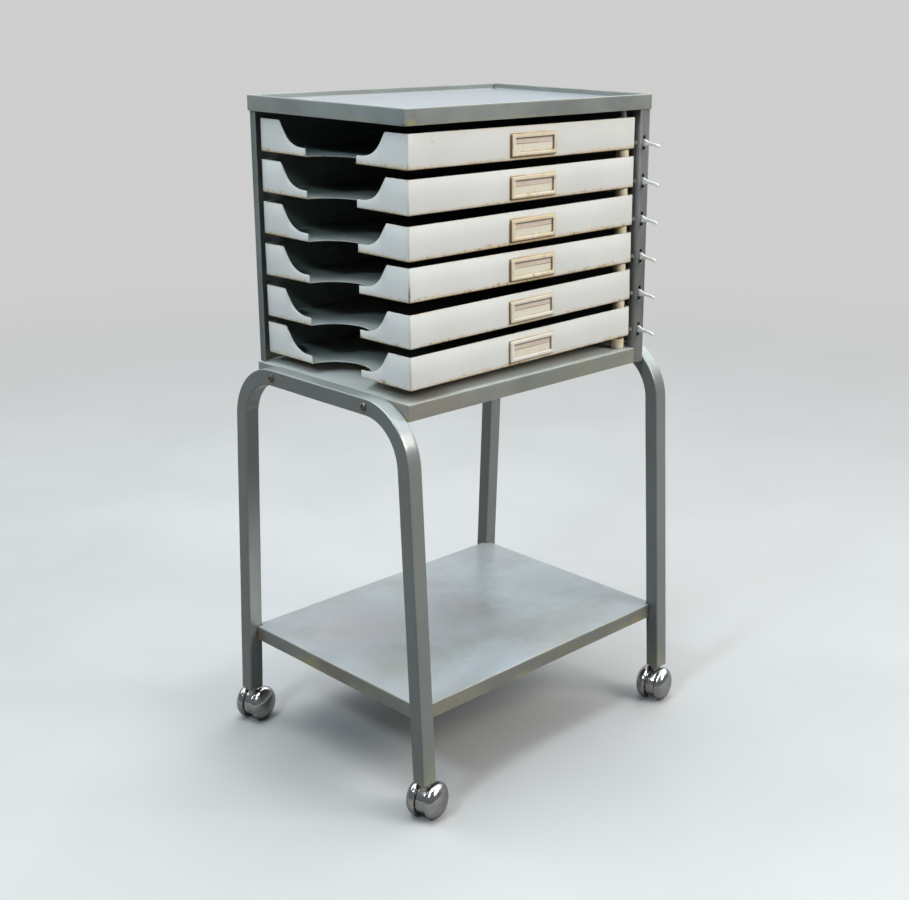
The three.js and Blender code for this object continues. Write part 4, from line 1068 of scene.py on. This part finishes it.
tray_matrix = []
for k in range(TRAYS):
    zt = H - TRAY_DROP - k * TRAY_PITCH - TRAY_H / 2
    length, depth = TRAY_X1 - TRAY_X0, TRAY_Y1 - TRAY_Y0
    mat = (Matrix.Translation(Vector((ROD_X, ROD_Y, zt)) * MM)
           @ Matrix.Rotation(-(SAG_REAR[k] - SAG_FRONT[k]) / depth, 4, "X")
           @ Matrix.Rotation(-SAG_FRONT[k] / length, 4, "Y"))
    tray_matrix.append(mat)
    n = k + 1
    me = flat_mesh.copy()
    me.name = f"tray_{n}_pan"
    moved = wobble([tuple(q.co * 1000) for q in me.vertices], 0.30, 90.0, 3.3 * n)
    me.vertices.foreach_set("co", [c * MM for q in moved for c in q])
    me.update()
    ob = bpy.data.objects.new(f"tray_{n}_pan", me)
    bpy.context.scene.collection.objects.link(ob)
    ob.matrix_world = mat
    place(ob, f"tray_{n}", [f"tray_{n}"], "tray_enamel", (0.11 * n, RUSTY[k], YELLOW[k]))

# ------------------------------------------------------------ label holders
def label_mesh():
    w, h = LABEL_W / 2, LABEL_H / 2
    outer = rect_corners(-w, w, -h, h, 2.4, 6)
    inner = rect_corners(-w + 6.4, w - 4.6, -h + 4.8, h - 4.4, 0.9, 6)
    spec = [("o", 0.25, 0.0), ("o", 0.0, -0.3), ("o", 0.0, -1.35), ("o", 0.12, -1.75), ("o", 0.42, -2.05), ("o", 0.9, -2.2),
            ("i", -1.3, -2.2), ("i", -0.55, -2.1), ("i", -0.15, -1.85), ("i", 0.0, -1.45), ("i", 0.0, -0.95), ("i", 0.3, -0.72)]
    rings, ids = [], []
    for kind, d, y in spec:
        o = outline(outer if kind == "o" else inner, d, 999)
        rings.append([(p.x, y, p.y) for p in o])
        ids.append(0)
    ids[-1] = 1
    v, f, mid = loft(rings, ids)
    mid[-1] = 1
    return v, f, mid


def card_mesh(seed):
    w, h = LABEL_W / 2, LABEL_H / 2
    xa, xb = -w + 6.7, w - 4.9
    za, zb = -h + 5.05, 2.1
    nx, nz = 16, 4
    verts, faces = [], []
    for side in (0, 1):
        for j in range(nz + 1):
            for i in range(nx + 1):
                u, t = i / nx, j / nz
                x = xa + (xb - xa) * u
                z = za + (zb - za) * t + (0.35 * math.sin(u * 3.0 + seed) * t)
                bow = 0.16 * math.sin(math.pi * u) * (0.4 + 0.6 * t) + 0.10 * t * t
                y = -0.80 - bow - (0.22 if side else 0.0)
                verts.append((x, y, z))
    m = (nx + 1) * (nz + 1)
    for j in range(nz):
        for i in range(nx):
            a = j * (nx + 1) + i
            faces.append((a, a + 1, a + nx + 2, a + nx + 1))
            faces.append((m + a, m + a + nx + 1, m + a + nx + 2, m + a + 1))
    border = [i for i in range(nx + 1)] + [(j + 1) * (nx + 1) - 1 for j in range(1, nz + 1)]
    border += [nz * (nx + 1) + i for i in range(nx - 1, -1, -1)] + [j * (nx + 1) for j in range(nz - 1, 0, -1)]
    for a, b in zip(border, border[1:] + border[:1]):
        faces.append((a, b, m + b, m + a))
    return verts, faces


lab_v, lab_f, lab_mid = label_mesh()
for k in range(TRAYS):
    n = k + 1
    mat = tray_matrix[k] @ Matrix.Translation(Vector((LABEL_X - ROD_X, TRAY_Y0 - ROD_Y - GAP, TRAY_H / 2 + LABEL_DZ)) * MM)
    ob = to_object(f"label_holder_{n}_frame", wobble(lab_v, 0.12, 22.0, 5.1 * n), lab_f, [m_label, m_pocket], lab_mid)
    ob.matrix_world = mat
    place(ob, f"tray_{n}", [f"label_holder_{n}"], "label_metal", (0.13 * n, LABEL_RUST[k], LABEL_YELLOW[k]))
    v, f = card_mesh(1.3 * n)
    ob = to_object(f"label_card_{n}", v, f, [m_card])
    ob.matrix_world = mat
    place(ob, f"tray_{n}", [], "label_metal", (0.17 * n, LABEL_RUST[k], 0.5))
    a, b = cad_box(f"tray_sleeve_{n}")
    r = (b.x - a.x) / 2
    v, f, mid = bored(sleeve_profile(r - 0.2, a.z, b.z, 0.2), ROD_R + GAP, 36, ROD_X, ROD_Y)
    ob = to_object(f"tray_{n}_sleeve", v, f, [m_nylon], mid)
    place(ob, f"tray_{n}", [f"tray_sleeve_{n}"], "bush_nylon", (0.19 * n, 0.5, 0.5))

# ------------------------------------------------------------- trip levers
lever_outline = [
    (-2.7, -4.4), (-6.8, -4.5), (-10.7, -3.4), (-16.2, -2.6), (-21.7, -3.0), (-26.2, -4.0),
    (-29.4, -4.5), (-30.6, -3.6), (-30.2, -2.2), (-28.2, -1.0), (-24.2, 0.0), (-18.2, 0.8),
    (-13.2, 1.6), (-10.0, 3.2), (-6.8, 4.4), (3.8, 4.6), (9.3, 4.8), (13.2, 2.6), (14.0, -0.4),
    (12.8, -3.4), (8.8, -4.6),
]


def lever_mesh():
    closed = lever_outline[-1:] + lever_outline + lever_outline[:2]
    dense = []
    for i in range(1, len(closed) - 2):
        p0, p1, p2, p3 = (Vector(closed[i - 1]), Vector(closed[i]), Vector(closed[i + 1]), Vector(closed[i + 2]))
        for k in range(3):
            t = k / 3
            dense.append(0.5 * ((2 * p1) + (p2 - p0) * t + (2 * p0 - 5 * p1 + 4 * p2 - p3) * t * t + (3 * p1 - p0 - 3 * p2 + p3) * t ** 3))
    area = sum(a.x * b.y - b.x * a.y for a, b in zip(dense, dense[1:] + dense[:1]))
    if area < 0:
        dense.reverse()
    corners = [(p.x, p.y, 0.0, 0) for p in dense]
    rings = []
    for d, x in ((0.95, -1.6), (0.45, -1.48), (0.12, -1.15), (0.0, -0.65), (0.0, 0.65), (0.12, 1.15), (0.45, 1.48), (0.95, 1.6)):
        o = outline(corners, d, 999)
        rings.append([(x, p.x, p.y) for p in o])
    body = loft(rings)
    xa, xb = FPOST_LO.x - 0.7 - SLOT_X, SIDE_HI.x - 0.1 - SLOT_X
    prof = [(xa, 1.9), (xa + 0.5, 2.4), (xb - 0.5, 2.4), (xb, 1.9)]
    rings = [[(x, r * math.cos(2 * math.pi * i / 24), r * math.sin(2 * math.pi * i / 24)) for i in range(24)] for x, r in prof]
    pin = loft(rings)
    return join_lists([body, pin])


lev_v, lev_f, lev_mid = lever_mesh()
for k in range(TRAYS):
    n = k + 1
    z = H - SLOT_DROP - k * TRAY_PITCH
    v = [(a + SLOT_X, b + LEVER_PIN_Y, c + z) for a, b, c in lev_v]
    ob = to_object(f"trip_lever_{n}_finger", v, lev_f, [m_lever], smooth=40.0)
    place(ob, f"trip_lever_{n}", [f"trip_lever_{n}"], "lever_enamel", (0.21 * n, 0.5, 0.5))

# -------------------------------------------------------- side tube frames
def frame_path(nbend):
    splay = math.atan(LEG_SPLAY)
    turn = 90 * DEG - splay
    corner_y = leg_y(TOP_RUN_Z)
    tan = BEND_R * math.tan(turn / 2)
    cy, cz = -corner_y + tan, TOP_RUN_Z - BEND_R
    half = []
    ze = H - LEG_END
    start = (-leg_y(ze), ze)
    first = (cy - BEND_R * math.sin(turn), cz + BEND_R * math.cos(turn))
    legs = 16
    for i in range(legs):
        t = i / legs
        half.append(((start[0] + (first[0] - start[0]) * t, start[1] + (first[1] - start[1]) * t), turn, 0.0))
    for i in range(nbend + 1):
        a = turn * (1 - i / nbend)
        half.append(((cy - BEND_R * math.sin(a), cz + BEND_R * math.cos(a)), a, math.sin(math.pi * i / nbend)))
    last = half[-1][0]
    mid = []
    for i in range(1, 8):
        t = i / 8
        mid.append(((last[0] * (1 - 2 * t), last[1]), 0.0, 0.0))
    rest = [((-p[0], p[1]), -a, b) for p, a, b in reversed(half)]
    return half + mid + rest


def tube_mesh(cx, seed):
    path = frame_path(22)
    h, r = TUBE / 2, TUBE_R
    sect, edge = [], []
    # one point mid-side, two beside each arc, arcs of 5
    o = []
    for sx, sy, a0 in ((1, -1, -90), (1, 1, 0), (-1, 1, 90), (-1, -1, 180)):
        ccx, ccy = sx * (h - r), sy * (h - r)
        for k in range(6):
            a = (a0 + 90 * k / 5) * DEG
            o.append((ccx + r * math.cos(a), ccy + r * math.sin(a), 0.35 if k in (0, 5) else 1.0))
        a = (a0 + 90) * DEG
        # flat points along the side that follows
        nxt = {-90: (1, 1), 0: (-1, 1), 90: (-1, -1), 180: (1, -1)}[a0]
        e0 = (ccx + r * math.cos(a), ccy + r * math.sin(a))
        e1 = {-90: (h, h - r), 0: (-(h - r), h), 90: (-h, -(h - r)), 180: (h - r, -h)}[a0]
        for t in (0.16, 0.5, 0.84):
            o.append((e0[0] + (e1[0] - e0[0]) * t, e0[1] + (e1[1] - e0[1]) * t, 0.0))
    rings, edges = [], []

    def ring(i, shrink, wob=True):
        (py, pz), a, bend = path[i]
        ny, nz = -math.sin(a), math.cos(a)
        pts, ed = [], []
        for u, w, e in o:
            k = (h - shrink) / h
            uu, ww = u * k, w * k
            # the inside of the bend is drawn flat and a little in
            if bend > 0 and w < 0:
                ww += 0.5 * bend * (1 - (u / h) ** 2 * 0.6)
            pts.append((cx + uu, py + ww * ny, pz + ww * nz))
            ed.append(e if shrink < 0.5 else 0.0)
        return pts, ed

    N = len(path)
    order = [(i, 0.0) for i in range(N)]
    p, e = ring(0, 0.35)
    rings.append(p); edges += e
    for i in range(N):
        p, e = ring(i, 0.0)
        rings.append(p); edges += e
    p, e = ring(N - 1, 0.35)
    rings.append(p); edges += e
    for i in range(N - 1, -1, -1):
        p, e = ring(i, TUBE_WALL)
        rings.append(p); edges += e
    # move the chamfer rings' neighbours inward along the leg a little
    v, f, mid = loft(rings, closed=True)
    m = len(o)

    def nudge(ri, dz):
        for q in range(m):
            x, y, z = v[ri * m + q]
            v[ri * m + q] = (x, y, z + dz)
    nudge(1, 0.4)
    nudge(N, 0.4)
    return wobble(v, 0.22, 60.0, seed), f, edges


for side, name, seed in ((-1, "left", 1.0), (1, "right", 6.0)):
    v, f, e = tube_mesh(side * FRAME_X, seed)
    ob = to_object(f"{name}_frame_bent_tube", v, f, [m_tube], attrs={"edge": e}, smooth=40.0)
    place(ob, "cabinet", [f"{name}_frame_tube"], "cabinet_paint", (0.37 + 0.2 * side, 0.5, 0.5))

# frame bolts: domed slotted heads, each with its shank
def bolt_mesh():
    prof = [(0, -2.9)] + [(4.7 * math.sin(a * DEG), -2.9 * math.cos(a * DEG)) for a in (10, 22, 34, 46, 58, 70, 82)]
    prof += [(4.7, -0.05), (4.55, 0.25), (2.5, 0.28), (2.5, 22.0), (2.1, 22.5), (0, 22.5)]
    return turn_z(prof, 36)


for side, name in ((-1, "left"), (1, "right")):
    for i, y in enumerate(BOLT_Y):
        tag = f"{name}_{'front' if i == 0 else 'rear'}"
        v, f = bolt_mesh()
        ob = to_object(f"frame_bolt_{tag}_screw", v, f, [m_bolt], smooth=40.0)
        c = loft([[(-6, -0.62, z), (6, -0.62, z), (6, 0.62, z), (-6, 0.62, z)] for z in (-5.0, -1.5)])
        slot = to_object("slot", c[0], c[1], [])
        boolean(ob, slot, 40.0)
        spin = Matrix.Rotation((20 + 35 * i) * DEG, 4, "Z")
        base = Matrix.Translation(Vector((side * (FRAME_X + TUBE / 2 + GAP - 0.2), y, BOLT_Z)) * MM) @ Matrix.Rotation(-side * 90 * DEG, 4, "Y")
        ob.matrix_world = base @ spin
        place(ob, "cabinet", [f"frame_bolt_{tag}"], "bright_steel", (0.3 + 0.1 * i, 0.5, 0.5))

# ---------------------------------------------------------------- the shelf
sx, sy = (SHELF_HI.x - SHELF_LO.x) / 2, (SHELF_HI.y - SHELF_LO.y) / 2
z0, z1 = SHELF_LO.z, SHELF_HI.z
xin = FRAME_X - TUBE / 2 - GAP


def shelf_corners(z):
    yi = leg_y(z) - TUBE / 2 - 0.35
    r = 0.7
    return [
        (-xin, -sy, 1.2, 4), (xin, -sy, 1.2, 4), (xin, -yi, r, 3), (sx, -yi, 1.2, 4),
        (sx, yi, 1.2, 4), (xin, yi, r, 3), (xin, sy, 1.2, 4), (-xin, sy, 1.2, 4),
        (-xin, yi, r, 3), (-sx, yi, 1.2, 4), (-sx, -yi, 1.2, 4), (-xin, -yi, r, 3),
    ]


prof = [(1.55, z1)]
prof += [(1.4 + 1.4 * math.cos(a * DEG), z1 - 1.4 + 1.4 * math.sin(a * DEG)) for a in (108, 125, 140, 155, 170)]
prof += [(0.0, z1 - 1.5), (0.0, (z0 + z1) / 2), (0.0, z0 + 0.65)]
prof += [(0.62 + 0.62 * math.cos(a * DEG), z0 + 0.62 + 0.62 * math.sin(a * DEG)) for a in (200, 235, 270, 305, 340)]
prof += [(1.24, z0 + 0.8), (1.24, z1 - SHEET - 0.8), (1.5, z1 - SHEET - 0.2), (2.0, z1 - SHEET)]
rings = [[(p.x, p.y, z) for p in outline(shelf_corners(z), d, 14.0)] for d, z in prof]
v, f, mid = loft(rings)
v = wobble(v, 0.40, 85.0, 7.7)
place(to_object("lower_shelf_tray", v, f, [m_shelf], mid), "cabinet", ["lower_shelf"], "cabinet_paint", (0.83, 0.5, 0.5))

# ------------------------------------------------------------------ casters
def wheel_profile():
    """half ball about its own axle: (radius, distance out)"""
    r, c = WHEEL_R, 10.4
    prof = [(0, WHEEL_IN + 1.6), (6.0, WHEEL_IN + 1.6), (6.6, WHEEL_IN + 0.9), (7.4, WHEEL_IN), (r - 2.0, WHEEL_IN), (r - 0.9, WHEEL_IN + 0.25),
            (r - 0.25, WHEEL_IN + 0.95), (r, WHEEL_IN + 1.9), (r, c - 1.0), (r - 0.02, c)]
    for i in range(1, 15):
        a = (i / 15) * 90 * DEG
        prof.append((r * math.cos(a), c + (WHEEL_OUT - c) * math.sin(a)))
    prof.append((0, WHEEL_OUT))
    return prof


for sxn, syn, name in ((-1, -1, "front_left"), (1, -1, "front_right"), (-1, 1, "rear_left"), (1, 1, "rear_right")):
    x, y = sxn * FRAME_X, syn * leg_y(H - LEG_END)
    ze = H - LEG_END
    yaw = CASTER_YAW[name]
    splay = math.atan(LEG_SPLAY)
    seed = {"front_left": 0.1, "front_right": 0.35, "rear_left": 0.6, "rear_right": 0.85}[name]

    # plug in the leg's end
    ph = TUBE / 2 - TUBE_WALL - GAP
    v, f, mid = prism_z(rect_corners(-ph, ph, -ph, ph, 1.4, 4), -0.6, 22, 0.5, 99)
    ob = to_object(f"caster_plug_{name}_insert", v, f, [m_plug])
    base = Matrix.Translation(Vector((x, y, ze)) * MM) @ Matrix.Rotation(syn * splay, 4, "X")
    ob.matrix_world = base
    bore = loft([[(4.3 * math.cos(2 * math.pi * i / 24), 4.3 * math.sin(2 * math.pi * i / 24), z) for i in range(24)] for z in (-8, 34)])
    cutter = to_object("bore", bore[0], bore[1], [])
    cutter.matrix_world = Matrix.Translation(Vector((x, y, ze)) * MM)
    bpy.context.view_layer.update()
    boolean(ob, cutter)
    ob.matrix_world = base
    place(ob, "cabinet", [f"caster_plug_{name}"], "bright_steel", (seed, 0.5, 0.5))

    put = Matrix.Translation(Vector((x, y, 0)) * MM) @ Matrix.Rotation(yaw * DEG, 4, "Z")
    cz, oy = WHEEL_R, -CASTER_OFFSET
    # body: stem and stepped collar
    prof = [(0, 33), (6.0, 33), (6.2, 33.4), (6.2, 38.6), (6.9, 39.0), (6.9, 41.2), (6.2, 41.6), (6.2, ze - 3.2), (5.6, ze - 2.2), (5.0, ze - 1.2),
            (4.0, ze - 1.0), (4.0, ze + 19.2), (3.2, ze + 20), (0, ze + 20)]
    sv, sf = turn_z(prof, 36)
    # cheek between the two half balls
    pts = []
    for i in range(45):
        a = (-60 + (i / 44) * 300) * DEG
        pts.append((oy + 18.6 * math.cos(a), cz + 17.6 * math.sin(a) + (0.8 if math.sin(a) > 0 else 0.8 * max(0.0, 1 + math.sin(a) * 3))))
    corners = [(p[0], p[1], 0.0, 0) for p in pts]
    rings = []
    for d, xx in ((1.4, -6.1), (0.5, -5.85), (0.12, -5.3), (0.0, -4.4), (0.0, 4.4), (0.12, 5.3), (0.5, 5.85), (1.4, 6.1)):
        rings.append([(xx, p.x, p.y) for p in outline(corners, d, 5.0)])
    cheek = loft(rings)
    v, f, mid = join_lists([(sv, sf), cheek])
    ob = to_object(f"caster_body_{name}_fork", v, f, [m_chrome], smooth=40.0, matrix=put)
    place(ob, f"caster_{name}", [f"caster_body_{name}"], "caster_chrome", (seed, 0.5, 0.5))

    # axle
    v, f = turn_z([(0, -16.6), (2.0, -16.6), (2.4, -16.2), (2.4, 16.2), (2.0, 16.6), (0, 16.6)], 24)
    v = [(b, oy + a, cz + c) for a, c, b in v]
    ob = to_object(f"caster_axle_{name}_pin", v, f, [m_steel], matrix=put)
    place(ob, f"caster_{name}", [f"caster_axle_{name}"], "bright_steel", (seed, 0.5, 0.5))

    for s, tag in ((-1, "a"), (1, "b")):
        prof = wheel_profile()
        v, f = turn_z(prof, 64)
        v = [(s * b, oy + a, cz + c) for a, c, b in v]
        ob = to_object(f"caster_wheel_{tag}_{name}_shell", v, f, [m_chrome], smooth=50.0, matrix=put)
        place(ob, f"wheel_{tag}_{name}", [f"caster_wheel_{tag}_{name}"], "caster_chrome", (seed + 0.1 * s, 0.5, 0.5))

# ------------------------------------------------------------ stage and light
BACKDROP = (0.62, 0.62, 0.615)


def studio_floor():
    me = bpy.data.meshes.new("studio_floor")
    n, R = 96, 14.0
    verts = [(0, 0, 0)]
    for r in (2.0, 6.0, R):
        verts += [(r * math.cos(2 * math.pi * i / n), r * math.sin(2 * math.pi * i / n), 0) for i in range(n)]
    faces = [(0, 1 + i, 1 + (i + 1) % n) for i in range(n)]
    for k in range(2):
        a, b = 1 + k * n, 1 + (k + 1) * n
        faces += [(a + i, b + i, b + (i + 1) % n, a + (i + 1) % n) for i in range(n)]
    me.from_pydata(verts, [], faces)
    t = Tree("studio_floor_matte")
    col = t.mix(t.step(t.noise(0.004, 3, 0.5), 0.3, 0.7), (0.385, 0.383, 0.378), (0.405, 0.403, 0.398))
    m = t.surface(col, 0.75, t.bump(t.noise(0.4, 3, 0.5), 0.05, 0.5), spec=0.2)
    nodes, links = m.node_tree.nodes, m.node_tree.links
    out = next(n for n in nodes if n.type == "OUTPUT_MATERIAL")
    shader = next(n for n in nodes if n.type == "BSDF_PRINCIPLED")
    lpath = nodes.new("ShaderNodeLightPath")
    r = t.m("SQRT", t.add(t.mul(t.x, t.x), t.mul(t.y, t.y)))
    fade = t.mul(t.step(r, 700.0, 3200.0), lpath.outputs["Is Camera Ray"])
    # the object stands in a room with darker surroundings than the floor the camera sees
    links.new(t.mix(lpath.outputs["Is Camera Ray"], t.mix(0.42, (0.0, 0.0, 0.0), col), col), shader.inputs["Base Color"])
    em = nodes.new("ShaderNodeEmission")
    em.inputs["Color"].default_value = (*BACKDROP, 1)
    mix = nodes.new("ShaderNodeMixShader")
    links.new(fade, mix.inputs[0])
    links.new(shader.outputs[0], mix.inputs[1])
    links.new(em.outputs[0], mix.inputs[2])
    links.new(mix.outputs[0], out.inputs[0])
    me.materials.append(m)
    ob = bpy.data.objects.new("studio_floor", me)
    bpy.context.scene.collection.objects.link(ob)
    return ob


studio_floor()


def area(name, at, target, size, size_y, power, color):
    d = bpy.data.lights.new(name, "AREA")
    d.shape = "RECTANGLE"
    d.size, d.size_y = size, size_y
    d.energy = power
    d.color = color
    o = bpy.data.objects.new(name, d)
    bpy.context.scene.collection.objects.link(o)
    o.location = at
    o.rotation_mode = "QUATERNION"
    o.rotation_quaternion = (Vector(target) - Vector(at)).to_track_quat("-Z", "Y")
    return o


area("key_soft", (1.2, -2.7, 2.3), (0, 0, 0.5), 1.6, 1.3, 94.0, (1.0, 0.97, 0.92))
area("fill_left", (-1.65, -0.35, 1.80), (0, 0, 0.62), 0.26, 0.26, 18.0, (0.74, 0.90, 1.0))
area("top_soft", (-0.5, 0.3, 3.2), (0, 0, 0.4), 2.2, 2.2, 100.0, (0.91, 0.97, 1.0))

# The world is a dim room with a pale wall behind the object; the camera itself sees an even pale grey.
world = bpy.data.worlds.new("studio_world")
bpy.context.scene.world = world
world.use_nodes = True
wt = world.node_tree
wt.nodes.clear()


def wnode(kind, **kw):
    n = wt.nodes.new(kind)
    for k, v in kw.items():
        setattr(n, k, v)
    return n


wc = wnode("ShaderNodeTexCoord")


def patch_of_sky(direction, inner, outer):
    """1 around a direction, 0 beyond; inner and outer are the half angles in degrees"""
    d = Vector(direction).normalized()
    dot = wnode("ShaderNodeVectorMath", operation="DOT_PRODUCT")
    wt.links.new(wc.outputs["Generated"], dot.inputs[0])
    dot.inputs[1].default_value = d
    step = wnode("ShaderNodeMapRange", interpolation_type="SMOOTHSTEP")
    wt.links.new(dot.outputs["Value"], step.inputs[0])
    step.inputs[1].default_value = math.cos(math.radians(outer))
    step.inputs[2].default_value = math.cos(math.radians(inner))
    return step.outputs[0]


def sky(base, *patches):
    last = None
    for fac, tint in patches:
        n = wnode("ShaderNodeMix", data_type="RGBA")
        wt.links.new(fac, n.inputs[0])
        if last is None:
            n.inputs[6].default_value = (*base, 1)
        else:
            wt.links.new(last, n.inputs[6])
        n.inputs[7].default_value = (*tint, 1)
        last = n.outputs[2]
    return last


room_light = sky(
    (0.150, 0.160, 0.178),
    (patch_of_sky((0.73, 0.68, 0.18), 12, 45), (0.50, 0.525, 0.56)),   # pale wall behind the object
    (patch_of_sky((0.66, -0.04, 0.74), 22, 42), (2.3, 2.5, 2.56)),   # window: sheen on the tube bends and front edges
    (patch_of_sky((-0.28, 0.70, 0.64), 9, 20), (1.9, 2.05, 2.15)),    # window: thin light line on the left upper edges
)
lp = wnode("ShaderNodeLightPath")
seen = wnode("ShaderNodeMix", data_type="RGBA")
wt.links.new(lp.outputs["Is Camera Ray"], seen.inputs[0])
wt.links.new(room_light, seen.inputs[6])
seen.inputs[7].default_value = (*BACKDROP, 1)
bg = wnode("ShaderNodeBackground")
wt.links.new(seen.outputs[2], bg.inputs[0])
wo = wnode("ShaderNodeOutputWorld")
wt.links.new(bg.outputs[0], wo.inputs[0])

bpy.context.scene.view_settings.view_transform = "Standard"
bpy.context.scene.view_settings.look = "None"

# ------------------------------------------------------------------- camera
F_PX, PX, PY = 1406.2, 542.3, 413.0
cam_at = Vector((-1143.0, -1218.1, 891.9)) * MM
yaw, pitch, roll = 0.8166, -0.2852, 0.0127
fwd = Vector((math.sin(yaw) * math.cos(pitch), math.cos(yaw) * math.cos(pitch), math.sin(pitch)))
right = Vector((math.cos(yaw), -math.sin(yaw), 0))
up = right.cross(fwd)
r2 = right * math.cos(roll) + up * math.sin(roll)
u2 = up * math.cos(roll) - right * math.sin(roll)
cam_data = bpy.data.cameras.new("camera")
cam = bpy.data.objects.new("camera", cam_data)
bpy.context.scene.collection.objects.link(cam)
rot = Matrix((r2, u2, -fwd)).transposed()
cam.rotation_mode = "QUATERNION"
cam.rotation_quaternion = rot.to_quaternion()
cam.location = cam_at
cam_data.sensor_width = 36.0
cam_data.sensor_fit = "HORIZONTAL"
cam_data.lens = F_PX * 36.0 / 909.0
cam_data.clip_start, cam_data.clip_end = 0.02, 100.0


def lens_shift(path, amount):
    """The lens is shifted only while the camera stands at its own place: once it is moved elsewhere the shift is zero."""
    n = 20                      # the sum of n equal terms spreads the keys far enough apart to be kept
    fc = cam_data.driver_add(path)
    for m in list(fc.modifiers):
        fc.modifiers.remove(m)
    fc.driver.type = "SUM"
    for i in range(n):
        var = fc.driver.variables.new()
        var.name = f"x{i}"
        var.type = "TRANSFORMS"
        var.targets[0].id = cam
        var.targets[0].transform_type = "LOC_X"
        var.targets[0].transform_space = "WORLD_SPACE"
    x0 = cam_at.x * n
    points = ((x0 - 0.004 * n, 0.0), (x0 - 0.002 * n, amount), (x0 + 0.002 * n, amount), (x0 + 0.004 * n, 0.0))
    fc.keyframe_points.add(len(points))
    for k, (x, val) in zip(fc.keyframe_points, points):
        k.co = (x, val)
        k.interpolation = "LINEAR"
    fc.extrapolation = "CONSTANT"
    fc.update()


lens_shift("shift_x", (454.5 - PX) / 909.0)
lens_shift("shift_y", (PY - 450.0) / 909.0)
bpy.context.scene.camera = cam
